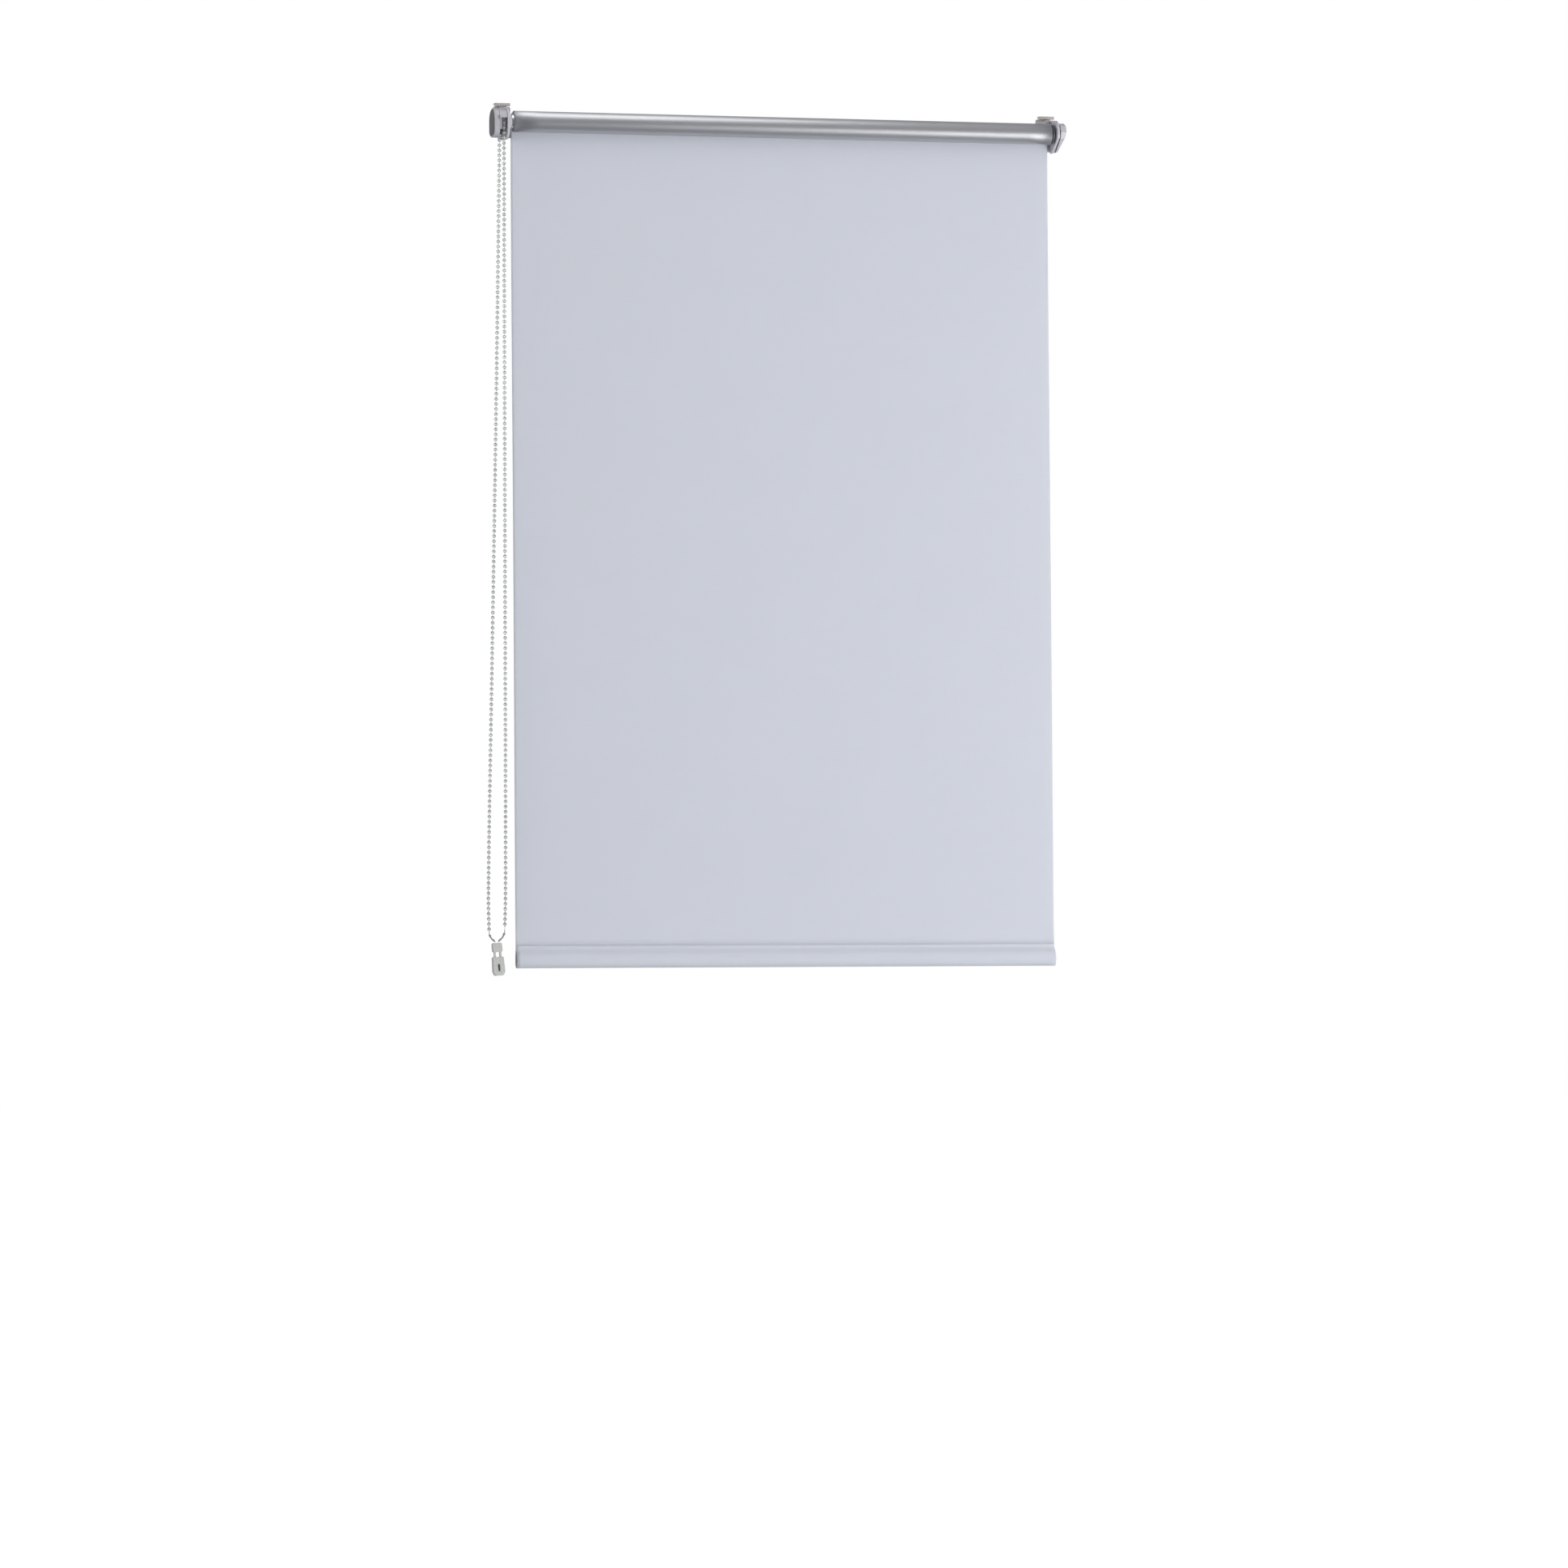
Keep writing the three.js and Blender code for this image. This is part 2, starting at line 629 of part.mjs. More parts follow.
// The body has a channel for each stem and a slot for the screw that would fix it to a wall.
function holderBody() {
  const side = outline([
    [-5.6, BODY_TOP], [-6.4, BODY_TOP - 1.4], [-7, BODY_BOTTOM + 5], [-5.6, BODY_BOTTOM + 1],
    [-3.6, BODY_BOTTOM], [3.6, BODY_BOTTOM], [5.6, BODY_BOTTOM + 1], [7, BODY_BOTTOM + 5],
    [6.4, BODY_TOP - 1.4], [5.6, BODY_TOP],
  ]);
  const channels = [-1, 1].map((s) => block(
    Math.min(s * (STEM.inner - 0.5), s * (STEM.outer + 0.4)),
    Math.max(s * (STEM.inner - 0.5), s * (STEM.outer + 0.4)),
    -STEM.half - 0.4,
    STEM.half + 0.4,
    -23,
    BODY_TOP + 1,
  ));
  const slot = extrudeY(roundedRectangle(-1.3, 1.3, -33.5, -24.8, 1.29), -6, 6, 4);
  return cut(extrudeY(side, -4.5, 4.5), ...channels, slot);
}

// ---------------------------------------------------------------- chain

const CHAIN_TOP = AXIS_Z - GAP;
const FRONT_ROUTE = [
  [CHAIN_X, AXIS_Y - CHAIN_R, CHAIN_TOP],
  [-343.5, -47.5, -90],
  [-343.8, -44.2, -350],
  [-344.2, -40.6, -650],
  [-344.6, -37.8, -880],
  [-345.1, -37.1, -945],
  [-346.2, AXIS_Y, -976],
];
const REAR_ROUTE = [
  [CHAIN_X, AXIS_Y + CHAIN_R, CHAIN_TOP],
  [-344.9, -26.5, -90],
  [-350.7, -29.8, -350],
  [-358.2, -33.3, -650],
  [-364.2, -36.1, -880],
  [-365.3, -36.8, -945],
  [-364.6, AXIS_Y, -978],
];
const FRONT_CONNECTOR = [[-346.3, AXIS_Y, -977.6], [-348.6, AXIS_Y, -982.4], [-353.2, AXIS_Y, -986.9]];
const REAR_CONNECTOR = [[-364.3, AXIS_Y, -979.6], [-362.2, AXIS_Y, -983.6], [-358.2, AXIS_Y, -987.2]];
const RUN_STEPS = 36;

// The half turn of chain over the top of the sprocket.
function chainWrap() {
  const points = [];
  const steps = 12;
  for (let i = 0; i <= steps; i += 1) {
    const angle = (Math.PI * i) / steps;
    points.push([CHAIN_X, -CHAIN_R * Math.cos(angle), CHAIN_R * Math.sin(angle)]);
  }
  return tubeAlong(points, BEAD_R, 16);
}

// ---------------------------------------------------------------- assembly

const blind = new THREE.Group();
blind.add(clamp(-1, 'left'), clamp(1, 'right'));

const onAxis = new THREE.Group();
onAxis.position.set(0, AXIS_Y, AXIS_Z);
const driveHole = rodX(SHAFT_R + GAP, LEFT_PLATE_X - 1, LEFT_PLATE_X + PLATE + 1, 0, 0, 32);
const pinHole = rodX(PIN_R + GAP, RIGHT_PLATE_X - 1, RIGHT_PLATE_X + PLATE + 1);
const pegHoles = PEGS.map(({ y, z }) => (
  rodX(1.8, RIGHT_PLATE_X - 1, RIGHT_PLATE_X + PLATE + 1, y, z, 10)
));
const leftBracket = bracket(bracketOutline(), LEFT_PLATE_X, -CLAMP_X, driveHole);
const rightBracket = bracket(
  rightBracketOutline(),
  RIGHT_PLATE_X,
  CLAMP_X,
  pinHole,
  ...pegHoles,
);
const rollerCoil = new Coil(3.8, -338, -326, 5);
const pinCoil = new Coil(2.4, PLUG_LEFT + 4.7, PIN_BACK - 0.7, 4);
const endCap = extrudeX(drumOutline(1.6 + GAP), DRIVE_LEFT, COVER_LEFT + 1.4 - GAP);
onAxis.add(
  piece('left_bracket', leftBracket, palePlastic()),
  piece('right_bracket', rightBracket, palePlastic()),
  piece('drive_housing', driveHousing(), palePlastic()),
  piece('drive_cover', driveCover(), palePlastic()),
  piece('drive_end_cap', endCap, greyPlastic()),
  piece('clutch_core', clutchCore(), greyPlastic()),
  piece('core_screw', coreScrew(), zincSteel()),
  piece('sprocket', sprocket(), palePlastic()),
  piece('clutch_spring', sweep(rollerCoil, 0.28, 60, 6), springSteel()),
  piece('drive_adapter', driveAdapter(), greyPlastic()),
  piece('tube', ring(TUBE_R - TUBE_WALL, TUBE_R, TUBE_LEFT, TUBE_RIGHT, 40), tubeMetal()),
  piece(
    'fabric_roll',
    ring(TUBE_R + GAP, ROLL_R, -CLOTH_HALF_WIDTH, CLOTH_HALF_WIDTH, 48),
    silverBacking(),
  ),
  piece('idle_plug', idlePlug(), greyPlastic()),
  piece('idle_pin', idlePin(), beadPlastic()),
  piece('idle_spring', sweep(pinCoil, 0.3, 48, 6), springSteel()),
  piece('right_cover', rightCover(), palePlastic()),
  piece('chain_wrap', chainWrap(), beadPlastic()),
);
blind.add(onAxis);

const panel = block(
  -CLOTH_HALF_WIDTH,
  CLOTH_HALF_WIDTH,
  PANEL_Y - CLOTH / 2,
  PANEL_Y + CLOTH / 2,
  HEM_Z + HEM_HEIGHT + GAP,
  AXIS_Z,
);
blind.add(piece('fabric_panel', panel, clothFront()));

const hem = new THREE.Group();
hem.position.set(0, PANEL_Y, HEM_Z);
const barTube = cut(
  extrudeX(barOutline(), -BAR_HALF_LENGTH, BAR_HALF_LENGTH, 5),
  extrudeX(barOutline(0.9), -BAR_HALF_LENGTH - 1, BAR_HALF_LENGTH + 1, 5),
);
hem.add(
  piece(
    'hem_pocket',
    extrudeX(pocketOutline(), -CLOTH_HALF_WIDTH, CLOTH_HALF_WIDTH, 2),
    clothFront(),
  ),
  piece('hem_bar', barTube, tubeMetal()),
  piece('left_hem_cap', hemCap(-1), greyPlastic()),
  piece('right_hem_cap', hemCap(1), greyPlastic()),
);
blind.add(hem);

blind.add(
  piece('chain_front_run', tubeAlong(FRONT_ROUTE, BEAD_R, RUN_STEPS), beadPlastic()),
  piece('chain_rear_run', tubeAlong(REAR_ROUTE, BEAD_R, RUN_STEPS), beadPlastic()),
  piece('front_chain_connector', tubeAlong(FRONT_CONNECTOR, 1.4, 4), clearPlastic()),
  piece('rear_chain_connector', tubeAlong(REAR_CONNECTOR, 1.4, 4), clearPlastic()),
);

const holder = new THREE.Group();
holder.position.set(...HOLDER_TOP);
holder.rotation.y = -HOLDER_LEAN;
holder.add(
  piece('chain_holder_slider', holderSlider(), clearPlastic()),
  piece('chain_holder_body', holderBody(), clearPlastic()),
);
blind.add(holder);

export default blind;
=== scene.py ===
# %% [markdown]
# # A clamp-on roller blind
# The blind is cloth wound on a thin tube between two clip-over brackets. A bead chain turns
# the tube, a weighted bar in the hem keeps the cloth flat, and a small holder keeps the
# chain's loop under control. The frame is already built at real size, in metres, with +Z up
# and +Y towards the window. This file adds the cloth, the beads, the soft edges and the
# finishes. It takes its places from the frame's own boxes wherever a box can give them.

# %% Load the frame
import json
import math

import bmesh
import bpy
import numpy as np
from mathutils import Matrix, Vector

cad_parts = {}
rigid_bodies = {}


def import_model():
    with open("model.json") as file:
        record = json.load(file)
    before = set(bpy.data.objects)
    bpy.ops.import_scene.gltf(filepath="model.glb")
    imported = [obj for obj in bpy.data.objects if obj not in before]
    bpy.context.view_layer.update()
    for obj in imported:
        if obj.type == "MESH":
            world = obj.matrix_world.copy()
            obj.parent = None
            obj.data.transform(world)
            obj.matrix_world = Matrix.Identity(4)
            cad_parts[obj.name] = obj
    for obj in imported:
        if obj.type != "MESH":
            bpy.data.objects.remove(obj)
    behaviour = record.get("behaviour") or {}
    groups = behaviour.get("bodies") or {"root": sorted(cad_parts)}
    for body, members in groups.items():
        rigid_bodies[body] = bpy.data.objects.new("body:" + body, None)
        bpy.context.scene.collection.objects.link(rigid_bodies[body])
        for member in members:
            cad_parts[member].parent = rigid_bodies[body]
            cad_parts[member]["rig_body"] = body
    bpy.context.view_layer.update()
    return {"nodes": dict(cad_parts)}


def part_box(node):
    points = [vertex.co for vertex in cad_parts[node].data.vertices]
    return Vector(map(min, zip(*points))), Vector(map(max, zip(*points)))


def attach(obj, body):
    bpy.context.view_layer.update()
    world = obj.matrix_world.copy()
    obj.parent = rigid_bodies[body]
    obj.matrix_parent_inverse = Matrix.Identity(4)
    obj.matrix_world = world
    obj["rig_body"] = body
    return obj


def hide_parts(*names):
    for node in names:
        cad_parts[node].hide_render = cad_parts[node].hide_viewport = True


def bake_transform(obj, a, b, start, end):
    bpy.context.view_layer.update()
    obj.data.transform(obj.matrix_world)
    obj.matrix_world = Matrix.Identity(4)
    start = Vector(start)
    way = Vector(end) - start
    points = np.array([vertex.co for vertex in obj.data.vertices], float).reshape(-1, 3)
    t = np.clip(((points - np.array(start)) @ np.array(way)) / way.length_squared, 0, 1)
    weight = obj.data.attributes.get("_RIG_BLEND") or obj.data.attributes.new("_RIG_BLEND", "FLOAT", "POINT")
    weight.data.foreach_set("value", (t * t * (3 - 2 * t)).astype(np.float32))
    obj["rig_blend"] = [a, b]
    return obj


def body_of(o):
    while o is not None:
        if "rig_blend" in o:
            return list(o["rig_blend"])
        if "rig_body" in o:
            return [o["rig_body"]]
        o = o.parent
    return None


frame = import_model()

# %% [markdown]
# ## Lengths that everything else is worked out from
# A box of a turned piece has its axis in the middle, so the roll's axis, its radius and the
# cloth's width all come from the box of one node. Only what no box shows is stated here: the
# cloth's thickness, the beads, and the usual gap between two pieces that turn or slide.

# %% Driving lengths
MM = 0.001


def middle(node):
    """The middle of a node's box."""
    low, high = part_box(node)
    return (Vector(low) + Vector(high)) / 2


roll_low, roll_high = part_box("fabric_roll")
hem_low, hem_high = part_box("hem_pocket")
tube_low, tube_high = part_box("tube")
AXIS = Vector((0, middle("fabric_roll").y, middle("fabric_roll").z))
ROLL_R = (roll_high[2] - roll_low[2]) / 2
TUBE_R = (tube_high[2] - tube_low[2]) / 2
HALF_WIDTH = roll_high[0]
HEM_BOTTOM = hem_low[2]
HEM_TOP = hem_high[2]
PANEL_Y = middle("fabric_panel").y
CLOTH = 0.43 * MM
BEAD_R = 2.25 * MM
BEAD_PITCH = 6 * MM
SPROCKET_BEADS = 12
GAP = 0.3 * MM
SHARP = math.radians(35)
print("drop %.0f mm, roll %.1f mm across" % ((AXIS.z - HEM_BOTTOM) / MM, 2 * ROLL_R / MM))

# %% [markdown]
# ## The camera
# It stands far back, low and to the left, with a long lens, which keeps the upright edges of
# the cloth nearly parallel. Its turn is given as three angles: round to the right, tipped up
# a little, and a hair of roll.

# %% Camera
CAMERA_PLACE = AXIS + Vector((-2.256, -8.576, -1.079))
CAMERA_TURN = math.radians(-14.70)
CAMERA_TIP = math.radians(1.93)
CAMERA_ROLL = math.radians(-0.429)
FOCAL_LENGTH = 171.9  # millimetres, on the usual 36 mm wide sensor


def camera_axes(turn, tip, roll):
    """Right, up and backward directions of a camera turned about Z, tipped up, then rolled."""
    ahead = Vector((-math.sin(turn) * math.cos(tip), math.cos(turn) * math.cos(tip), math.sin(tip)))
    right = ahead.cross(Vector((0, 0, 1))).normalized()
    up = right.cross(ahead)
    rolled_right = right * math.cos(roll) + up * math.sin(roll)
    rolled_up = up * math.cos(roll) - right * math.sin(roll)
    return rolled_right, rolled_up, -ahead


camera = bpy.data.objects.new("camera", bpy.data.cameras.new("camera"))
camera.data.lens = FOCAL_LENGTH
camera.data.clip_end = 200
directions = Matrix(camera_axes(CAMERA_TURN, CAMERA_TIP, CAMERA_ROLL)).transposed()
camera.matrix_world = Matrix.Translation(CAMERA_PLACE) @ directions.to_4x4()
bpy.context.scene.collection.objects.link(camera)
bpy.context.scene.camera = camera
print("camera at", [round(c, 3) for c in CAMERA_PLACE])

# %% [markdown]
# ## Surfaces from grids
# Almost every new shape here is a grid: one direction runs round or across the shape, the
# other along it. Numpy works out all the points at once, and `from_pydata` turns them into
# a mesh. A grid that closes on itself, such as a tube, joins its last column to its first,
# and its open ends can be closed by one face each.


# %% Grid meshes
def grid_faces(rows, columns, around=False):
    """Quads between neighbouring points of a grid. With around, the last column meets the first."""
    across = columns if around else columns - 1
    row, column = np.meshgrid(np.arange(rows - 1), np.arange(across), indexing="ij")
    following = (column + 1) % columns
    corners = [row * columns + column, row * columns + following]
    corners += [(row + 1) * columns + following, (row + 1) * columns + column]
    return np.stack(corners, -1).reshape(-1, 4)


def new_piece(name, points, faces, finishes, smooth=True):
    """A mesh object at the origin, whose points are already in place."""
    mesh = bpy.data.meshes.new(name)
    mesh.from_pydata(np.asarray(points).reshape(-1, 3).tolist(), [], [list(f) for f in faces])
    mesh.polygons.foreach_set("use_smooth", [smooth] * len(mesh.polygons))
    for finish in finishes:
        mesh.materials.append(finish)
    piece = bpy.data.objects.new(name, mesh)
    bpy.context.scene.collection.objects.link(piece)
    return piece


def declare(piece, body, slot, *nodes):
    """Says which body carries a piece and which nodes it stands for. The slot is not used."""
    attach(piece, body)
    if nodes:
        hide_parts(*nodes)


def face_outwards(piece):
    """Turns every face of a closed mesh outwards, after its doubled points are merged."""
    work = bmesh.new()
    work.from_mesh(piece.data)
    bmesh.ops.remove_doubles(work, verts=work.verts, dist=1e-7)
    bmesh.ops.recalc_face_normals(work, faces=work.faces)
    work.to_mesh(piece.data)
    work.free()
    return piece


def modifier(piece, kind, **settings):
    """Adds one modifier and its settings."""
    added = piece.modifiers.new(kind.title(), kind)
    for name, value in settings.items():
        setattr(added, name, value)
    return added


# %% [markdown]
# ## Shader maths in plain Python
# A node tree is hard to read as a list of links. The `Wire` class wraps one socket, so that
# `1 - mask * 0.3` adds the Math nodes it needs. `Finish` is one material with its Principled
# shader. Its `node` method makes any other node from its type, its settings and its inputs.
# Values that are the same everywhere are set on the shader's own sockets.


# %% Wires
class Wire:
    """One output socket. Arithmetic on it adds Math nodes and gives a new Wire."""

    def __init__(self, finish, socket):
        self.finish = finish
        self.socket = socket

    def math(self, operation, *values):
        return self.finish.node("ShaderNodeMath", {"operation": operation}, [self, *values])

    def __add__(self, other):
        return self.math("ADD", other)

    def __radd__(self, other):
        return self.math("ADD", other)

    def __sub__(self, other):
        return self.math("SUBTRACT", other)

    def __rsub__(self, other):
        return self.finish.node("ShaderNodeMath", {"operation": "SUBTRACT"}, [other, self])

    def __mul__(self, other):
        return self.math("MULTIPLY", other)

    def __rmul__(self, other):
        return self.math("MULTIPLY", other)

    def clamped(self):
        return self.math("MAXIMUM", 0.0).math("MINIMUM", 1.0)


class Finish:
    """A material. constants are set on the Principled shader's own sockets."""

    def __init__(self, name, **constants):
        self.material = bpy.data.materials.new(name)
        self.material.use_nodes = True
        self.tree = self.material.node_tree
        self.shader = self.tree.nodes["Principled BSDF"]
        for socket, value in constants.items():
            self.shader.inputs[socket.replace("_", " ")].default_value = value

    def node(self, kind, settings=None, inputs=(), output=0):
        """Any node: its settings first, then the values or links of its sockets."""
        made = self.tree.nodes.new(kind)
        for name, value in (settings or {}).items():
            setattr(made, name, value)
        pairs = inputs.items() if isinstance(inputs, dict) else enumerate(inputs)
        for key, value in pairs:
            if isinstance(value, Wire):
                self.tree.links.new(value.socket, made.inputs[key])
            else:
                made.inputs[key].default_value = value
        return Wire(self, made.outputs[output])

    def drive(self, **sockets):
        """Links wires to the Principled shader's sockets."""
        for name, wire in sockets.items():
            self.tree.links.new(wire.socket, self.shader.inputs[name.replace("_", " ")])

    def place(self, scale=(1, 1, 1)):
        """Object coordinates, which are the real place in metres, scaled per axis."""
        coordinates = self.node("ShaderNodeTexCoord", output="Object")
        return self.node("ShaderNodeMapping", {}, {"Vector": coordinates, "Scale": scale})

    def noise(self, vector, size, detail=2.0, rough=0.5):
        """Noise between 0 and 1 whose blobs are about size metres across."""
        inputs = {"Vector": vector, "Scale": 1 / size, "Detail": detail, "Roughness": rough}
        return self.node("ShaderNodeTexNoise", {}, inputs)

    def mix(self, factor, first, second):
        """A colour between two colours."""
        settings = {"data_type": "RGBA"}
        return self.node("ShaderNodeMix", settings, {0: factor, 6: first, 7: second}, output=2)

    def bump(self, height, distance, strength=1.0):
        """A normal from a height between 0 and 1, which stands distance metres high."""
        inputs = {"Strength": strength, "Distance": distance, "Height": height}
        return self.node("ShaderNodeBump", {}, inputs, output="Normal")


def shade(color, factor):
    """A colour made lighter or darker, with an alpha of 1."""
    return (*(channel * factor for channel in color[:3]), 1.0)


print("shader helpers ready")

# %% [markdown]
# ## Cloth
# Blind cloth is a tight plain weave: warp threads run down, weft threads run across, and
# each passes over one and under the next. A chequer of cells says which thread is on top,
# and the rounded profile of that thread gives the height. Slubs, the slightly thicker yarns,
# make faint streaks along the weft. The reverse carries a thin aluminium film that keeps the
# sun's heat out, so it shines like satin metal, with the weave still showing through.


# %% Weave
def weave(finish, pitch):
    """Height of a plain weave: |sin| across the thread that is on top in each chequer cell."""
    split = finish.node("ShaderNodeSeparateXYZ", {}, [finish.place()])
    across = split * (1 / pitch)
    down = Wire(finish, split.socket.node.outputs[2]) * (1 / pitch)
    chequer = (across.math("FLOOR") + down.math("FLOOR")).math("PINGPONG", 1.0)
    warp = (across * math.pi).math("SINE").math("ABSOLUTE")
    weft = (down * math.pi).math("SINE").math("ABSOLUTE")
    return chequer * warp + (1 - chequer) * weft


def slubs(finish):
    """Streaks about 35 mm long and 0.9 mm thick along the weft, and fainter ones down the warp."""
    weft = finish.noise(finish.place((1 / 40, 1, 1)), 0.9 * MM, detail=3)
    warp = finish.noise(finish.place((1, 1, 1 / 40)), 0.8 * MM, detail=2)
    return weft * 0.6 + warp * 0.4


CLOTH_COLOR = (0.640, 0.664, 0.728, 1.0)
WEAVE_PITCH = 0.45 * MM


def woven_finish(name, color, **constants):
    """Matt polyester weave with slubs and a faint unevenness of the dye."""
    finish = Finish(name, **constants)
    threads = weave(finish, WEAVE_PITCH)
    streaks = slubs(finish)
    dye = finish.noise(finish.place(), 90 * MM, detail=2)
    tone = (threads * 0.10 + streaks * 0.32 + dye * 0.16).clamped()
    finish.drive(
        Base_Color=finish.mix(tone, shade(color, 0.925), shade(color, 1.065)),
        Roughness=0.9 - threads * 0.12,
        Normal=finish.bump(threads * 0.7 + streaks * 0.5, 0.05 * MM, 0.45),
    )
    return finish.material


def silver_finish(name):
    """Aluminised cloth: a metal film that follows the weave, with faint rub marks."""
    finish = Finish(name, Metallic=0.86)
    threads = weave(finish, WEAVE_PITCH)
    streaks = slubs(finish)
    rubs = finish.noise(finish.place((0.2, 1, 1)), 14 * MM, detail=4)
    finish.drive(
        Base_Color=finish.mix(streaks, (0.48, 0.485, 0.505, 1), (0.55, 0.555, 0.57, 1)),
        Roughness=0.36 + threads * 0.05 + rubs * 0.1,
        Normal=finish.bump(threads * 0.5 + streaks * 0.5, 0.03 * MM, 0.22),
    )
    return finish.material


cloth_front = woven_finish("cloth_front", CLOTH_COLOR, Sheen_Weight=0.12, Sheen_Roughness=0.5)
# The cut edge is the cloth colour at 0.8. This is painted shade on the roll's ends and on the cloth's sides.
cloth_edge_painted_shade = woven_finish("cloth_edge_painted_shade", shade(CLOTH_COLOR, 0.8))
cloth_silver = silver_finish("cloth_silver")
thread_white = Finish("sewing_thread", Roughness=0.6)
thread_twist = thread_white.node(
    "ShaderNodeTexWave",
    {"bands_direction": "DIAGONAL"},
    {"Vector": thread_white.place(), "Scale": 900.0, "Distortion": 1.0},
    output="Fac",
)
thread_white.drive(
    Base_Color=thread_white.mix(thread_twist, shade(CLOTH_COLOR, 0.86), shade(CLOTH_COLOR, 1.08)),
    Normal=thread_white.bump(thread_twist, 0.05 * MM, 0.5),
)
print("cloth finishes:", cloth_front.name, cloth_edge_painted_shade.name, cloth_silver.name)

# %% [markdown]
# ## Plastics, rubber and metals
# Moulded parts take the texture of their mould: a fine, even grain, with the gloss changing
# a little where the plastic flowed. Powder-coated steel has orange peel, drawn tube has
# lines along its length, and zinc plate has a soft crystalline mottle. Each finish is one
# small function of its colour.


# %% Plastics and rubber
def moulded_finish(name, color, rough, grain=0.35 * MM, depth=0.03 * MM, **constants):
    """Moulded plastic: fine mould grain, faint flow marks and handling marks."""
    finish = Finish(name, **constants)
    grains = finish.noise(finish.place(), grain, detail=3)
    flow = finish.noise(finish.place((1, 1, 0.4)), 9 * MM, detail=3)
    marks = finish.noise(finish.place(), 2.2 * MM, detail=5, rough=0.7)
    finish.drive(
        Base_Color=finish.mix(flow * 0.7 + marks * 0.3, shade(color, 0.93), shade(color, 1.05)),
        Roughness=rough - 0.08 + grains * 0.08 + flow * 0.10,
        Normal=finish.bump(grains, depth, 0.35),
    )
    return finish.material


def rubber_finish():
    """Foam rubber pad: open pores and a dusty matt surface."""
    finish = Finish("pad_rubber")
    pores = finish.node(
        "ShaderNodeTexVoronoi",
        {"feature": "F1"},
        {"Vector": finish.place(), "Scale": 1 / (0.7 * MM)},
    )
    dust = finish.noise(finish.place(), 5 * MM, detail=4)
    finish.drive(
        Base_Color=finish.mix(dust, (0.05, 0.05, 0.048, 1), (0.11, 0.105, 0.10, 1)),
        Roughness=0.8 + dust * 0.15,
        Normal=finish.bump(pores, 0.15 * MM, 0.6),
    )
    return finish.material


pale_plastic = moulded_finish("pale_plastic", (0.60, 0.585, 0.625, 1), 0.42, Coat_Weight=0.08)
# The drum's plastic is the brackets' pale plastic darkened to 0.83. This is a shaded copy, so it is painted
# shade.
pale_plastic_painted_shade = moulded_finish("pale_plastic_painted_shade", (0.50, 0.485, 0.52, 1), 0.38, Coat_Weight=0.12)
# This near-black plastic stands for shade. On the drive's end cap it paints the shade of the face turned
# away from the lamps. On the plug's collar it draws the shaded gap at the roll's right end.
painted_shade_plastic = moulded_finish("painted_shade_plastic", (0.115, 0.11, 0.125, 1), 0.3, Coat_Weight=0.3)
grey_plastic = moulded_finish("grey_plastic", (0.30, 0.30, 0.315, 1), 0.4)
smoky_plastic = moulded_finish(
    "smoky_plastic",
    (0.72, 0.73, 0.70, 1),
    0.26,
    grain=1.2 * MM,
    Transmission_Weight=0.25,
    Coat_Weight=0.3,
)
bead_plastic = moulded_finish(
    "bead_plastic",
    (0.86, 0.89, 0.87, 1),
    0.16,
    grain=0.8 * MM,
    Transmission_Weight=0.72,
    IOR=1.46,
    Coat_Weight=0.3,
)
white_plastic = moulded_finish("white_plastic", (0.88, 0.88, 0.87, 1), 0.34, Coat_Weight=0.2)
pad_rubber = rubber_finish()
print("plastics and rubber ready")


# %% Metals
def coated_finish():
    """Powder coat on steel: orange peel and a few darker specks."""
    finish = Finish("coated_steel", Coat_Weight=0.2)
    peel = finish.noise(finish.place(), 0.8 * MM, detail=1)
    tone = finish.noise(finish.place(), 12 * MM, detail=3)
    finish.drive(
        Base_Color=finish.mix(tone, (0.50, 0.465, 0.43, 1), (0.62, 0.59, 0.56, 1)),
        Roughness=0.36 + peel * 0.12,
        Normal=finish.bump(peel, 0.05 * MM, 0.35),
    )
    return finish.material


def metal_finish(name, color, rough, stretch, size):
    """Bare metal: drawing or plating marks of one size, stretched along one axis."""
    finish = Finish(name, Metallic=1.0)
    marks = finish.noise(finish.place(stretch), size, detail=4, rough=0.6)
    tarnish = finish.noise(finish.place(), 8 * MM, detail=3)
    finish.drive(
        Base_Color=finish.mix(tarnish, shade(color, 0.9), shade(color, 1.06)),
        Roughness=rough - 0.06 + marks * 0.16,
        Normal=finish.bump(marks, 0.01 * MM, 0.3),
    )
    return finish.material


coated_steel = coated_finish()
zinc_steel = metal_finish("zinc_steel", (0.62, 0.64, 0.67, 1), 0.34, (1, 1, 1), 0.9 * MM)
tube_metal = metal_finish("tube_metal", (0.76, 0.77, 0.79, 1), 0.24, (0.03, 1, 1), 0.5 * MM)
spring_steel = metal_finish("spring_steel", (0.42, 0.43, 0.46, 1), 0.3, (1, 1, 1), 0.4 * MM)
print("metals ready")

# %% [markdown]
# ## The bead chain
# The chain is a cord: small beads moulded onto a polyester thread at an even 6 mm pitch.
# Its loop hangs from both sides of the sprocket, and twists a quarter turn on its way down
# so that both runs meet in the holder side by side. The route is a short list of points in
# millimetres.
# A smooth curve through them is measured, and a bead is put at every 6 mm of its length.
# Each bead is a ball of a few dozen faces, because there are more than three hundred.

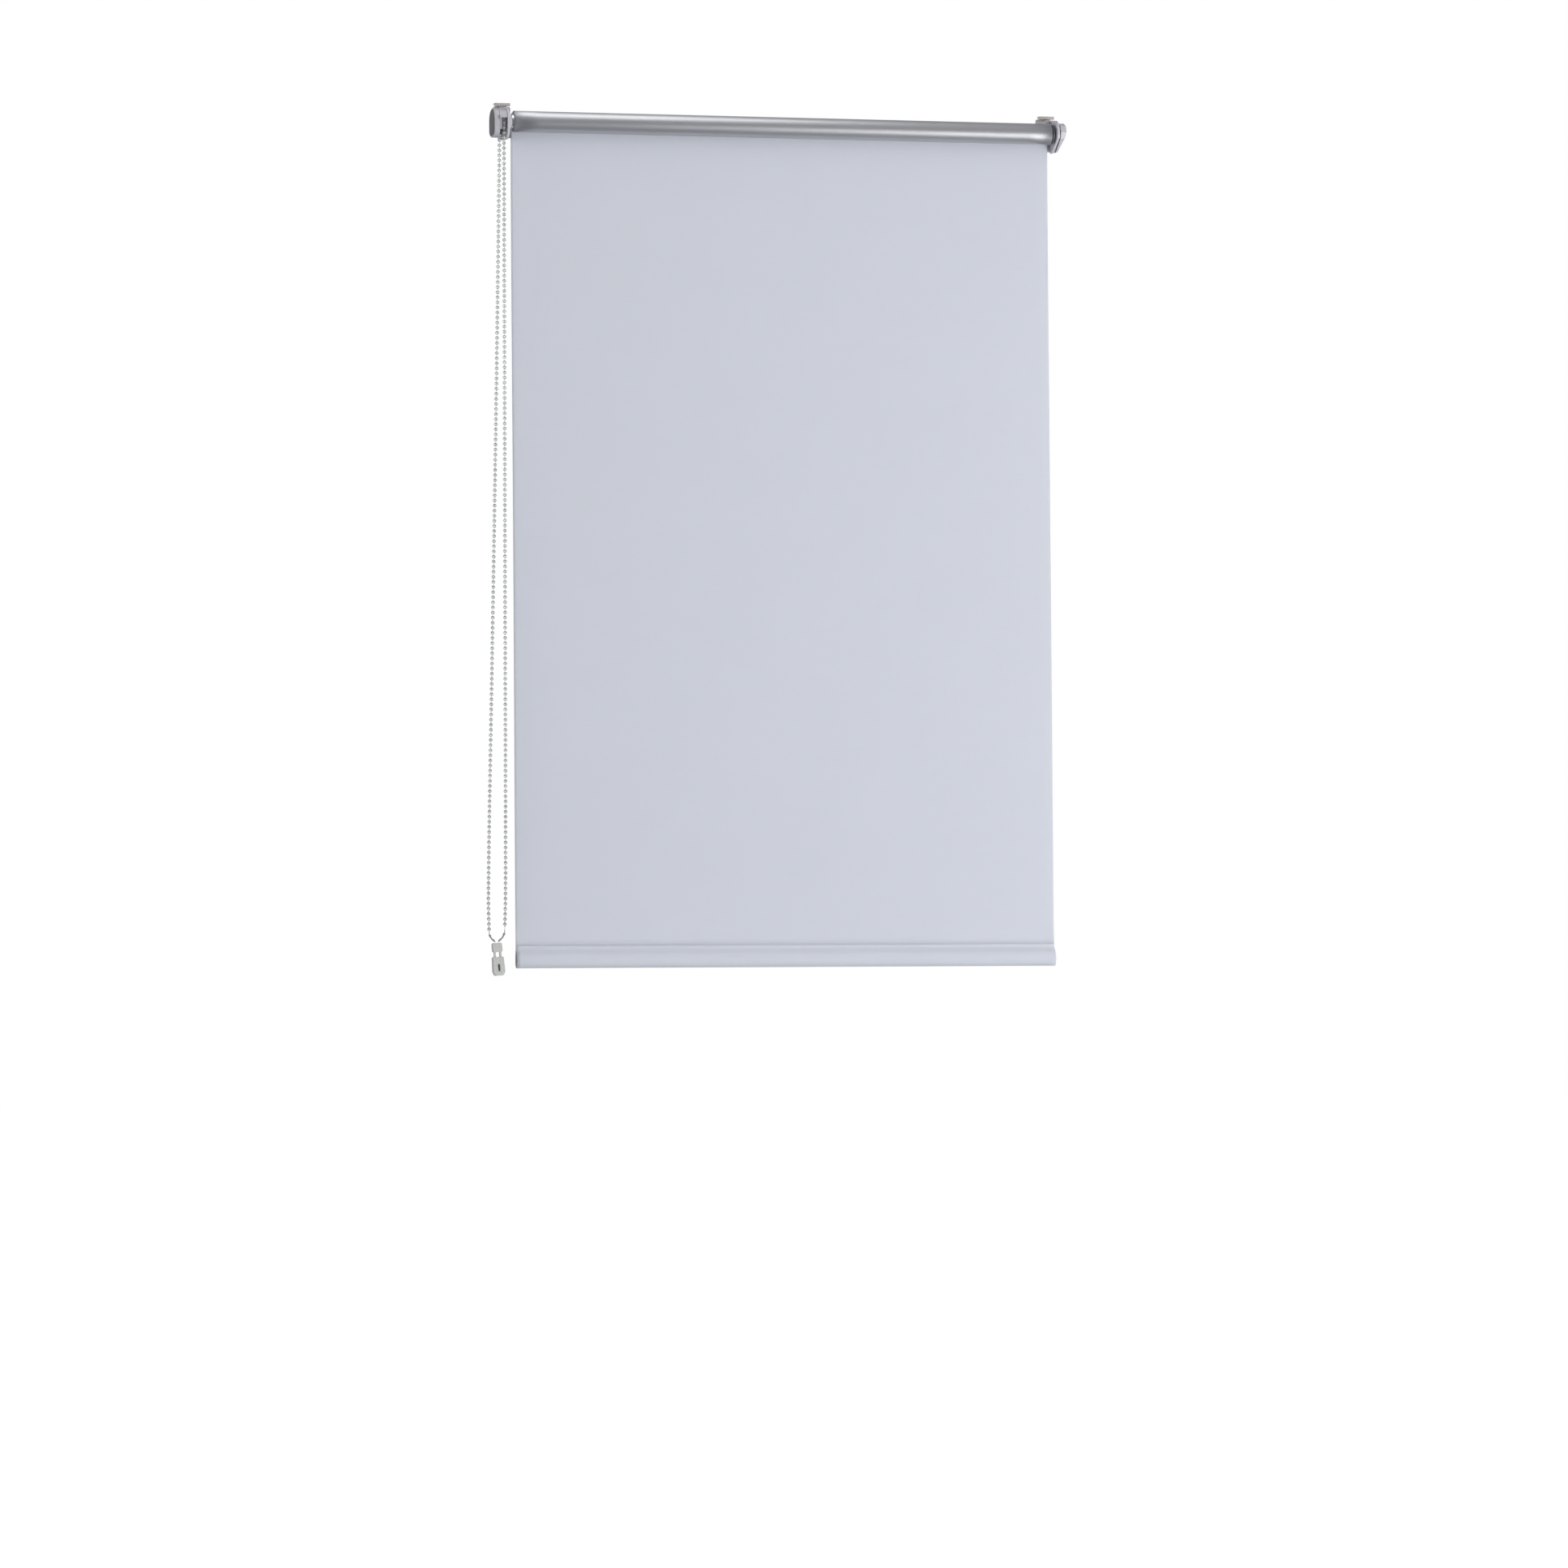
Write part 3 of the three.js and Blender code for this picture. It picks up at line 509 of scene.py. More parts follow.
# %% The route of the chain
CHAIN_X = middle("chain_wrap").x
CHAIN_LOOP_R = SPROCKET_BEADS * BEAD_PITCH / (2 * math.pi)
THREAD_R = 0.55 * MM
LINK_REACH = 1.4 * MM
FRONT_ROUTE = np.array([
    (-343.4, -48.46, -22.3), (-343.5, -47.5, -90), (-343.8, -44.2, -350), (-344.2, -40.6, -650),
    (-344.6, -37.8, -880), (-345.1, -37.1, -945), (-346.2, -37, -976),
]) * MM
REAR_ROUTE = np.array([
    (-343.4, -25.54, -22.3), (-344.9, -26.5, -90), (-350.7, -29.8, -350), (-358.2, -33.3, -650),
    (-364.2, -36.1, -880), (-365.3, -36.8, -945), (-364.6, -37, -978),
]) * MM
FRONT_LINK = np.array([(-346.3, -37, -977.6), (-348.6, -37, -982.4), (-353.2, -37, -986.9)]) * MM
REAR_LINK = np.array([(-364.3, -37, -979.6), (-362.2, -37, -983.6), (-358.2, -37, -987.2)]) * MM


def smooth_route(points, count=400):
    """Catmull-Rom curve through the points, with knots spaced by the root of their distance."""
    padded = np.array([2 * points[0] - points[1], *points, 2 * points[-1] - points[-2]])
    knots = np.concatenate([[0], np.cumsum(np.linalg.norm(np.diff(padded, axis=0), axis=1) ** 0.5)])
    wanted = np.linspace(knots[1], knots[-2], count)
    span = np.clip(np.searchsorted(knots, wanted, side="right") - 1, 1, len(points) - 1)

    def lerp(first, second, start, end):
        weight = ((wanted - start) / (end - start))[:, None]
        return first * (1 - weight) + second * weight

    t = [knots[span + step] for step in (-1, 0, 1, 2)]
    p = [padded[span + step] for step in (-1, 0, 1, 2)]
    a = [lerp(p[i], p[i + 1], t[i], t[i + 1]) for i in range(3)]
    b = [lerp(a[i], a[i + 1], t[i], t[i + 2]) for i in range(2)]
    return lerp(b[0], b[1], t[1], t[2])


def route_length(points):
    """Length of a polyline."""
    return float(np.linalg.norm(np.diff(points, axis=0), axis=1).sum())


def along(points, distances):
    """Points at given distances along a polyline."""
    run = np.concatenate([[0], np.cumsum(np.linalg.norm(np.diff(points, axis=0), axis=1))])
    return np.stack([np.interp(distances, run, points[:, axis]) for axis in range(3)], -1)


front_run = smooth_route(FRONT_ROUTE)
rear_run = smooth_route(REAR_ROUTE)
chain_path = np.concatenate([
    front_run, smooth_route(FRONT_LINK, 12), smooth_route(REAR_LINK, 12)[::-1], rear_run[::-1],
])
print("chain: %.0f mm" % (route_length(chain_path) / MM))


# %% Beads and thread
def bead(radius, rows=6, columns=8):
    """A ball with flattened poles: rings of radius sin(t) at height 0.96 cos(t)."""
    t = np.linspace(0.30, math.pi - 0.30, rows)
    around = np.linspace(0, 2 * math.pi, columns, endpoint=False)
    ring = np.sin(t)[:, None]
    height = np.repeat(0.96 * np.cos(t)[:, None], columns, 1)
    return radius * np.stack([ring * np.cos(around), ring * np.sin(around), height], -1)


def sweep(path, radius, sides):
    """Tube round a path: the frame is carried along without twisting, radius may vary."""
    tangent = np.gradient(path, axis=0)
    tangent /= np.linalg.norm(tangent, axis=1)[:, None]
    side = np.zeros_like(path)
    start = np.cross(tangent[0], (0.31, 0.93, 0.17))
    side[0] = start / np.linalg.norm(start)
    for i in range(1, len(path)):
        carried = side[i - 1] - tangent[i] * (side[i - 1] @ tangent[i])
        side[i] = carried / np.linalg.norm(carried)
    other = np.cross(tangent, side)
    around = np.linspace(0, 2 * math.pi, sides, endpoint=False)
    size = np.broadcast_to(np.asarray(radius, float), len(path))[:, None, None]
    ring = side[:, None] * np.cos(around)[:, None] + other[:, None] * np.sin(around)[:, None]
    return path[:, None] + size * ring


def capped(rows, columns):
    """Faces of a closed tube with one flat face at each end."""
    first = tuple(range(columns))[::-1]
    last = tuple(range((rows - 1) * columns, rows * columns))
    return [*map(tuple, grid_faces(rows, columns, around=True)), first, last]


def repeated(faces, size, count, start=0):
    """The faces of count equal shapes of size points each, the first at point start."""
    return [tuple(v + start + n * size for v in face) for n in range(count) for face in faces]


def tube_piece(name, path, radius, finish, sides):
    """A closed tube along a path."""
    points = sweep(path, radius, sides)
    return face_outwards(new_piece(name, points, capped(len(path), sides), [finish]))


def bead_string(name, centres, directions, finish, threads):
    """Beads at centres along directions, with threads running through them, as one mesh."""
    ball = bead(BEAD_R)
    rows, columns = ball.shape[:2]
    facing = directions / np.linalg.norm(directions, axis=1)[:, None]
    side = np.cross(facing, (0.0, 1.0, 0.31))
    side /= np.linalg.norm(side, axis=1)[:, None]
    other = np.cross(facing, side)
    basis = np.stack([side, other, facing], 1)
    balls = centres[:, None] + np.einsum("pk,nkc->npc", ball.reshape(-1, 3), basis)
    size = rows * columns
    points = [balls.reshape(-1, 3)]
    faces = repeated(capped(rows, columns), size, len(centres))
    sides = 6
    for path in threads:
        start = sum(map(len, points))
        faces += repeated(capped(len(path), sides), 0, 1, start)
        points.append(sweep(path, THREAD_R, sides).reshape(-1, 3))
    return face_outwards(new_piece(name, np.concatenate(points), faces, [finish]))


def bead_places(path):
    """Places and directions of the beads along a run. The first is half a pitch in."""
    count = int(route_length(path) // BEAD_PITCH)
    distances = BEAD_PITCH / 2 + BEAD_PITCH * np.arange(count)
    return along(path, distances), along(path, distances + MM) - along(path, distances - MM)


front_beads, front_directions = bead_places(front_run)
rear_beads, rear_directions = bead_places(rear_run)
thread_paths = [
    along(run, np.linspace(0, route_length(run), 160)) for run in (front_run, rear_run)
]
chain = bead_string(
    "bead_chain",
    np.concatenate([front_beads, rear_beads]),
    np.concatenate([front_directions, rear_directions]),
    bead_plastic,
    thread_paths,
)
declare(chain, "root", "bead_plastic", "chain_front_run", "chain_rear_run")
print("beads on the two runs:", len(front_beads) + len(rear_beads))

# %% [markdown]
# The half turn over the sprocket holds six more beads, which sit in the sprocket's pockets.
# At the bottom each run ends in a small moulded link: a waisted pin that snaps over the last
# bead and hooks into the holder.

# %% Beads over the sprocket, and the end links
WRAP_BEADS = SPROCKET_BEADS // 2
wrap_angles = (np.arange(WRAP_BEADS) + 0.5) / WRAP_BEADS * math.pi
wrap_line = np.linspace(0, math.pi, 40)


def on_sprocket(angle):
    """Points of a circle in the chain's plane, from the front over the top to the rear."""
    x = np.full_like(angle, CHAIN_X)
    y = AXIS.y - CHAIN_LOOP_R * np.cos(angle)
    return np.stack([x, y, AXIS.z + CHAIN_LOOP_R * np.sin(angle)], -1)


wrap_directions = on_sprocket(wrap_angles + 0.01) - on_sprocket(wrap_angles - 0.01)
wrap = bead_string(
    "beads_over_sprocket",
    on_sprocket(wrap_angles),
    wrap_directions,
    bead_plastic,
    [on_sprocket(wrap_line)],
)
declare(wrap, "root", "bead_plastic", "chain_wrap")


def further(end, before):
    """The point LINK_REACH past the end of a path, straight on from the point before it."""
    step = end - before
    return end + step / np.linalg.norm(step) * LINK_REACH


def bulge(t, place, width):
    """A smooth bump of height 1 at place: exp(-((t - place) / width) squared)."""
    return np.exp(-(((t - place) / width) ** 2))


def link_piece(name, route, node):
    """A pin with a fat end over the bead, a waist, and a thicker hook end, both tapered."""
    path = smooth_route(route, 24)
    path = np.vstack([further(path[0], path[1]), path, further(path[-1], path[-2])])
    t = np.linspace(0, 1, len(path))
    radius = 1.05 + 0.75 * bulge(t, 0.12, 0.12) + 0.4 * bulge(t, 0.85, 0.14)
    ends = np.sqrt(np.clip(1 - np.maximum(np.abs(2 * t - 1) * 1.06 - 0.06, 0) ** 8, 0.05, 1))
    link = tube_piece(name, path, radius * ends * 0.85 * MM, grey_plastic, 14)
    declare(link, "root", "clear_plastic", node)
    return link


front_link = link_piece("front_link", FRONT_LINK, "front_chain_connector")
rear_link = link_piece("rear_link", REAR_LINK, "rear_chain_connector")
print("beads over the sprocket:", WRAP_BEADS)

# %% [markdown]
# ## Finished copies of the moulded and bent parts
# The frame's parts have sharp edges, because that is all that motion and collision need.
# Real mouldings and bent strips have small radii that catch the light. Each such part is
# copied, its loose triangles are merged into flat faces again, and a Bevel modifier rounds
# the edges. The normals stay flat on the flat faces, so only the edges look round.


# %% Rounded copies
EDGE_ANGLE = math.radians(32)


def rounded_copy(node, finish, radius, slot):
    """The node's own shape with its edges rounded to radius metres."""
    source = frame["nodes"][node]
    mesh = source.data.copy()
    work = bmesh.new()
    work.from_mesh(mesh)
    bmesh.ops.remove_doubles(work, verts=work.verts, dist=2e-6)
    bmesh.ops.dissolve_limit(
        work, angle_limit=math.radians(0.6), verts=work.verts, edges=work.edges
    )
    bmesh.ops.recalc_face_normals(work, faces=work.faces)
    work.to_mesh(mesh)
    work.free()
    mesh.polygons.foreach_set("use_smooth", [True] * len(mesh.polygons))
    mesh.set_sharp_from_angle(angle=EDGE_ANGLE)
    mesh.materials.clear()
    mesh.materials.append(finish)
    piece = bpy.data.objects.new(node + "_finished", mesh)
    bpy.context.scene.collection.objects.link(piece)
    modifier(
        piece,
        "BEVEL",
        width=radius,
        segments=3,
        limit_method="ANGLE",
        angle_limit=EDGE_ANGLE,
        harden_normals=True,
        miter_outer="MITER_ARC",
        use_clamp_overlap=True,
    )
    declare(piece, body_of(source)[0], slot, node)
    return piece


def both(name, *look):
    """One row of the table for the left piece and one for the right piece."""
    return [(f"{side}_{name}", *look) for side in ("left", "right")]


# Each row: node, finish, edge radius in millimetres, slot.
ROUNDED = [
    *both("carrier", pale_plastic, 0.5, "pale_plastic"),
    *both("hook", coated_steel, 0.25, "coated_steel"),
    *both("front_pad", pad_rubber, 0.2, "rubber"),
    *both("rear_pad", pad_rubber, 0.2, "rubber"),
    *both("clamp_nut", zinc_steel, 0.2, "zinc_steel"),
    *both("clamp_screw", zinc_steel, 0.15, "zinc_steel"),
    ("left_upper_fixing_screw", zinc_steel, 0.12, "zinc_steel"),
    ("left_lower_fixing_screw", zinc_steel, 0.12, "zinc_steel"),
    ("right_upper_fixing_screw", zinc_steel, 0.12, "zinc_steel"),
    ("right_lower_fixing_screw", zinc_steel, 0.12, "zinc_steel"),
    *both("bracket", pale_plastic, 0.35, "pale_plastic"),
    # The drive's housing and cover take the darkened copy of the pale plastic, as painted shade.
    ("drive_housing", pale_plastic_painted_shade, 0.3, "pale_plastic"),
    ("drive_cover", pale_plastic_painted_shade, 0.3, "pale_plastic"),
    # The end cap is near-black: painted shade on its face that turns from the lamps.
    ("drive_end_cap", painted_shade_plastic, 0.4, "grey_plastic"),
    ("right_cover", pale_plastic, 0.5, "pale_plastic"),
    *both("hem_cap", grey_plastic, 0.4, "grey_plastic"),
    ("chain_holder_slider", smoky_plastic, 0.9, "clear_plastic"),
    ("chain_holder_body", smoky_plastic, 1.1, "clear_plastic"),
]
finished = {
    node: rounded_copy(node, finish, radius * MM, slot)
    for node, finish, radius, slot in ROUNDED
}
print("rounded copies:", len(finished))

# %% [markdown]
# A dark grey sheet closes the slot of the holder's body, halfway through its thickness, as painted shade in
# the slot. The holder hangs from its top at a slight lean, so the sheet's corners are turned with it.

# %% Painted shade in the holder's slot
HOLDER_LEAN = math.radians(4)
HOLDER_TOP = (-355.8 * MM, AXIS.y, -989 * MM)
SLOT_SHADE_BOX = np.array([(-1.5, 1.5), (-0.4, 0.6), (-33.7, -24.6)]) * MM
slot_shade_points = [
    (
        HOLDER_TOP[0] + x * math.cos(HOLDER_LEAN) - z * math.sin(HOLDER_LEAN),
        HOLDER_TOP[1] + y,
        HOLDER_TOP[2] + x * math.sin(HOLDER_LEAN) + z * math.cos(HOLDER_LEAN),
    )
    for x in SLOT_SHADE_BOX[0]
    for y in SLOT_SHADE_BOX[1]
    for z in SLOT_SHADE_BOX[2]
]
slot_shade_faces = [(0, 1, 3, 2), (4, 6, 7, 5), (0, 4, 5, 1), (2, 3, 7, 6), (0, 2, 6, 4), (1, 5, 7, 3)]
# The grey sheet paints the shade inside the slot.
holder_slot_painted_shade = new_piece("holder_slot_painted_shade", slot_shade_points, slot_shade_faces, [grey_plastic], smooth=False)
face_outwards(holder_slot_painted_shade)
declare(holder_slot_painted_shade, body_of(frame["nodes"]["chain_holder_body"])[0], "clear_plastic")
print("web in the holder's slot")

# %% [markdown]
# The chain leaves the drive at the front of the sprocket and goes back into it at the rear.

print("chain, links and holder built")

# %% [markdown]
# ## Turned parts
# The tube, the plugs and the sprocket's shaft are round about the roll's axis. Each one is a
# profile of (place along the axis, radius) turned through a full circle, with far more steps
# than the frame has, so that no facet shows at the tube's open end.


# %% Turned surfaces
def turned_piece(name, profile, body, finish, node, slot, steps=96):
    """A closed profile in metres turned round the roll's axis: y = r cos(a), z = r sin(a)."""
    outline = np.array(profile, float)
    angle = np.linspace(0, 2 * math.pi, steps, endpoint=False)
    x = np.repeat(outline[:, :1], steps, 1)
    y = AXIS.y + outline[:, 1:] * np.cos(angle)
    z = AXIS.z + outline[:, 1:] * np.sin(angle)
    points = np.stack([x, y, z], -1)
    piece = new_piece(name, points, grid_faces(len(outline), steps, around=True), [finish])
    face_outwards(piece)
    piece.data.set_sharp_from_angle(angle=SHARP)
    declare(piece, body, slot, node)


def eased(profile, radius):
    """Cuts each corner of a profile with two points, radius metres from it, as a small bevel."""
    corners = np.array(profile, float)
    out = []
    for before, corner, after in zip(np.roll(corners, 1, 0), corners, np.roll(corners, -1, 0)):
        if corner[1] <= 1e-9:
            out.append(corner)
            continue
        for other in (before, after):
            reach = other - corner
            length = np.linalg.norm(reach)
            out.append(corner + reach / length * min(radius, length / 3))
    return np.array(out + [out[0]])


TUBE_WALL = 0.8 * MM
tube_bore = TUBE_R - TUBE_WALL
turned_piece(
    "roller_tube",
    eased([
        (tube_low[0], tube_bore),
        (tube_high[0], tube_bore),
        (tube_high[0], TUBE_R),
        (tube_low[0], TUBE_R),
    ], 0.15 * MM),
    "roller", tube_metal, "tube", "tube_metal",
)
adapter_low, adapter_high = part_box("drive_adapter")
SHAFT_R = 5.6 * MM
sleeve_r = tube_bore - GAP
drive_collar_r = TUBE_R - 0.2 * MM
turned_piece(
    "tube_adapter",
    eased([
        (adapter_low[0], SHAFT_R + GAP),
        (adapter_high[0], SHAFT_R + GAP),
        (adapter_high[0], sleeve_r),
        (tube_low[0] - GAP, sleeve_r),
        (tube_low[0] - GAP, drive_collar_r),
        (adapter_low[0], drive_collar_r),
    ], 0.25 * MM),
    "roller", white_plastic, "drive_adapter", "grey_plastic",
)
print("tube and adapter turned")

# %% Idle plug, pin and clutch core
plug_low, plug_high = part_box("idle_plug")
pin_low, pin_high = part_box("idle_pin")
PIN_R = 2.3 * MM
PLUG_COLLAR_R = (plug_high[2] - plug_low[2]) / 2
PLUG_BOSS_R = 6.5 * MM
PIN_SHOULDER_R = (pin_high[2] - pin_low[2]) / 2
plug_floor = plug_low[0] + 4 * MM
plug_lip = plug_high[0] - 2 * MM
collar_back = tube_high[0] + GAP
collar_front = tube_high[0] + 1.8 * MM
# The plug's collar is near-black. It draws the shaded gap between the roll's end and the bracket as painted
# shade.
turned_piece(
    "tube_plug",
    eased([
        (plug_low[0], 0),
        (plug_floor, 0),
        (plug_floor, PIN_SHOULDER_R + GAP),
        (plug_lip, PIN_SHOULDER_R + GAP),
        (plug_lip, PIN_R + GAP),
        (plug_high[0], PIN_R + GAP),
        (plug_high[0], PLUG_BOSS_R),
        (collar_front, PLUG_BOSS_R),
        (collar_front, PLUG_COLLAR_R),
        (collar_back, PLUG_COLLAR_R),
        (collar_back, sleeve_r),
        (plug_low[0], sleeve_r),
    ], 0.2 * MM),
    "roller", painted_shade_plastic, "idle_plug", "grey_plastic",
)
PIN_CHAMFER = 0.6 * MM
pin_shoulder = pin_low[0] + 6 * MM
turned_piece(
    "sprung_pin",
    eased([
        (pin_low[0], 0),
        (pin_high[0], 0),
        (pin_high[0], PIN_R - PIN_CHAMFER),
        (pin_high[0] - PIN_CHAMFER, PIN_R),
        (pin_shoulder, PIN_R),
        (pin_shoulder, PIN_SHOULDER_R),
        (pin_low[0], PIN_SHOULDER_R),
    ], 0.2 * MM),
    "idle_pin", white_plastic, "idle_pin", "bead_plastic", 64,
)
core_low, core_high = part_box("clutch_core")
CORE_R = 3.2 * MM
CORE_BORE_R = 1.5 * MM
FLANGE_R = 8.5 * MM
core_flange = core_low[0] + 1.7 * MM
bore_end = core_high[0] - 12 * MM
turned_piece(
    "clutch_axle",
    eased([
        (core_low[0], 0),
        (bore_end, 0),
        (bore_end, CORE_BORE_R),
        (core_high[0], CORE_BORE_R),
        (core_high[0], CORE_R),
        (core_flange, CORE_R),
        (core_flange, FLANGE_R),
        (core_low[0], FLANGE_R),
    ], 0.2 * MM),
    "root", grey_plastic, "clutch_core", "grey_plastic", 64,
)
screw_low, screw_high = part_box("core_screw")
HEAD_R = 4.6 * MM
THREADED_R = 1.2 * MM
head_seat = screw_high[0] - 1.5 * MM
turned_piece(
    "axle_screw",
    eased([
        (screw_low[0], 0),
        (screw_high[0], 0),
        (screw_high[0], 3.2 * MM),
        (screw_high[0] - 0.9 * MM, HEAD_R),
        (head_seat, HEAD_R),
        (head_seat, THREADED_R),
        (screw_low[0], THREADED_R),
    ], 0.15 * MM),
    "root", zinc_steel, "core_screw", "zinc_steel", 48,
)
print("plug, pin and core turned")

# %% [markdown]
# ## The sprocket
# Each bead drops into a pocket of its own. The groove's floor is therefore not one radius:
# it dips by the bead's radius at twelve places round the rim and rises to a tooth between
# them. Its surface is a turned profile whose groove radius also depends on the angle.

# %% Sprocket
sprocket_low, sprocket_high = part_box("sprocket")
RIM_R = 12.2 * MM
SHAFT_BORE_R = 4.4 * MM
rim_right = 2 * CHAIN_X - sprocket_low[0]


def sprocket_points(steps=240):
    """Groove radius: the chain's radius minus sqrt(r^2 - dx^2 - da^2), and less at the teeth.

    r is the pocket's radius, dx the distance along the axis and da the distance round the
    rim, both from the middle of the nearest bead.
    """
    angle = np.linspace(0, 2 * math.pi, steps, endpoint=False)
    pitch_angle = 2 * math.pi / SPROCKET_BEADS
    aside = CHAIN_LOOP_R * (angle % pitch_angle - pitch_angle / 2)
    pocket = BEAD_R + GAP
    offsets = np.linspace(-pocket, pocket, 15)
    left_over = pocket**2 - offsets[:, None] ** 2
    depth = np.sqrt(np.clip(left_over - aside[None] ** 2, 0, None))
    tooth = CHAIN_LOOP_R - 0.9 * MM - 0.5 * np.sqrt(np.clip(left_over, 0, None))
    floor = np.minimum(CHAIN_LOOP_R - depth, np.maximum(tooth, CHAIN_LOOP_R - pocket))
    chamfer = 0.2 * MM
    edge = pocket + 0.01 * MM
    left = np.array([
        (sprocket_low[0], SHAFT_BORE_R),
        (sprocket_low[0], RIM_R - chamfer),
        (sprocket_low[0] + chamfer, RIM_R),
        (CHAIN_X - edge, RIM_R),
    ])
    right = np.array([
        (CHAIN_X + edge, RIM_R),
        (rim_right - chamfer, RIM_R),
        (rim_right, RIM_R - chamfer),
        (rim_right, SHAFT_R),
        (sprocket_high[0], SHAFT_R),
        (sprocket_high[0], SHAFT_BORE_R),
        (sprocket_low[0], SHAFT_BORE_R),
    ])
    sides = [np.repeat(profile[:, 1:], steps, 1) for profile in (left, right)]
    radius = np.concatenate([sides[0], floor, sides[1]])
    x = np.concatenate([left[:, 0], CHAIN_X + offsets, right[:, 0]])
    x = np.repeat(x[:, None], steps, 1)
    return np.stack([x, AXIS.y - radius * np.cos(angle), AXIS.z + radius * np.sin(angle)], -1)


teeth = sprocket_points()
sprocket_faces = grid_faces(*teeth.shape[:2], around=True)
sprocket = new_piece("pocketed_sprocket", teeth, sprocket_faces, [pale_plastic])
face_outwards(sprocket)
sprocket.data.set_sharp_from_angle(angle=math.radians(40))
declare(sprocket, "roller", "pale_plastic", "sprocket")
print("sprocket faces:", len(sprocket.data.polygons))

# %% [markdown]
# ## Springs
# The wrap spring grips the fixed core and holds the blind at any height. A small coil pushes
# the idle pin into its bracket. Both are round wire swept along a helix whose end turns lie
# closer together.


# %% Coil springs
def coil(x0, x1, radius, turns, steps=32):
    """Helix whose pitch is 1 - 0.35 cos(2 pi t) of its mean, so it is tighter at both ends."""
    t = np.linspace(0, 1, turns * steps)
    angle = 2 * math.pi * turns * t
    x = x0 + (x1 - x0) * (t - 0.35 * np.sin(2 * math.pi * t) / (2 * math.pi))
    return np.stack([x, AXIS.y + radius * np.cos(angle), AXIS.z + radius * np.sin(angle)], -1)


def spring_piece(name, node, coil_radius, turns, wire_radius):
    """A coil that fills its node's box along the axis, and the two ends of that box."""
    low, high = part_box(node)
    path = coil(low[0] + 0.4 * MM, high[0] - 0.4 * MM, coil_radius, turns)
    spring = tube_piece(name, path, wire_radius, spring_steel, 8)
    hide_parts(node)
    return spring, low, high


wrap_spring, *_ = spring_piece("wrap_spring", "clutch_spring", 3.8 * MM, 14, 0.28 * MM)
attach(wrap_spring, "roller")
pin_spring, pin_spring_low, pin_spring_high = spring_piece(
    "pin_spring", "idle_spring", 2.4 * MM, 6, 0.3 * MM
)
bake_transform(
    pin_spring, "idle_pin", "roller",
    (pin_spring_high[0], AXIS.y, AXIS.z), (pin_spring_low[0], AXIS.y, AXIS.z),
)
print("springs swept")

# %% [markdown]
# ## The wound cloth
# The roll is one long strip of cloth: eight turns of it fill the space between the tube and
# the outside. Seen from the end, the turns are fine rings with dark gaps. The strip follows
# a spiral, and its outermost turn is a full circle, so the roll looks the same however far
# it has turned. A real roll is never wound perfectly, so its edges wander by some tenths of
# a millimetre.

# %% Roll
INNER_R = TUBE_R + GAP
TURNS = int((ROLL_R - INNER_R) / CLOTH)


def spiral(steps_per_turn=72):
    """Radius falls by one cloth thickness a turn, after a first turn at full radius."""
    angle = np.linspace(0, 2 * math.pi * TURNS, TURNS * steps_per_turn + 1)
    turn = angle / (2 * math.pi)
    outer = ROLL_R - CLOTH * 0.35
    lost = (outer - INNER_R - CLOTH * 0.3) * np.clip(turn - 1, 0, None) / (TURNS - 1)
    return angle, outer - lost, turn


def roll_points(columns=24):
    """The spiral drawn across the width, with each turn's edge wandering a little."""
    angle, radius, turn = spiral()
    across = np.linspace(-1, 1, columns)
    wander = 0.35 * MM * np.sin(turn * 2.1) + 0.25 * MM * np.sin(turn * 5.3 + 1)
    width = HALF_WIDTH - 0.9 * MM + np.where(turn < 1, 0.4 * MM, wander)
    x = width[:, None] * across[None]
    y = AXIS.y + radius[:, None] * np.cos(angle)[:, None]
    z = AXIS.z - radius[:, None] * np.sin(angle)[:, None]
    return np.stack(np.broadcast_arrays(x, y, z), -1)


wound = roll_points()
# The roll's ends take the darkened cut-edge finish, which paints shade on them.
roll_finishes = [cloth_silver, cloth_front, cloth_edge_painted_shade]
roll = new_piece("wound_cloth", wound, grid_faces(*wound.shape[:2]), roll_finishes)
modifier(
    roll, "SOLIDIFY", thickness=CLOTH * 0.62, offset=0.0, material_offset=1, material_offset_rim=2,
)
declare(roll, "roller", "silver_backing", "fabric_roll")
float(2 * math.pi * spiral()[1].mean() * TURNS)
print("turns of cloth on the tube:", TURNS)

# %% [markdown]
# ## The hanging cloth
# One flat sheet hangs from the back of the roll. Its top hugs the roll for a short way, so
# that it leaves the roll without a gap. Cloth under a light bar isn't a perfect plane: it
# carries broad, shallow waves of half a millimetre, and its cut side edges curl back a
# little, which darkens a narrow strip. The face is cloth and the reverse is silver, so the
# Solidify modifier gives its second skin the second material. The sheet grows and shrinks
# with the travel. Each point keeps its share of the way down, so the sheet stays flat at
# every height, instead of folding.

# %% Hanging sheet
HUG = math.radians(58)
LEAVE_R = ROLL_R + 0.28 * MM


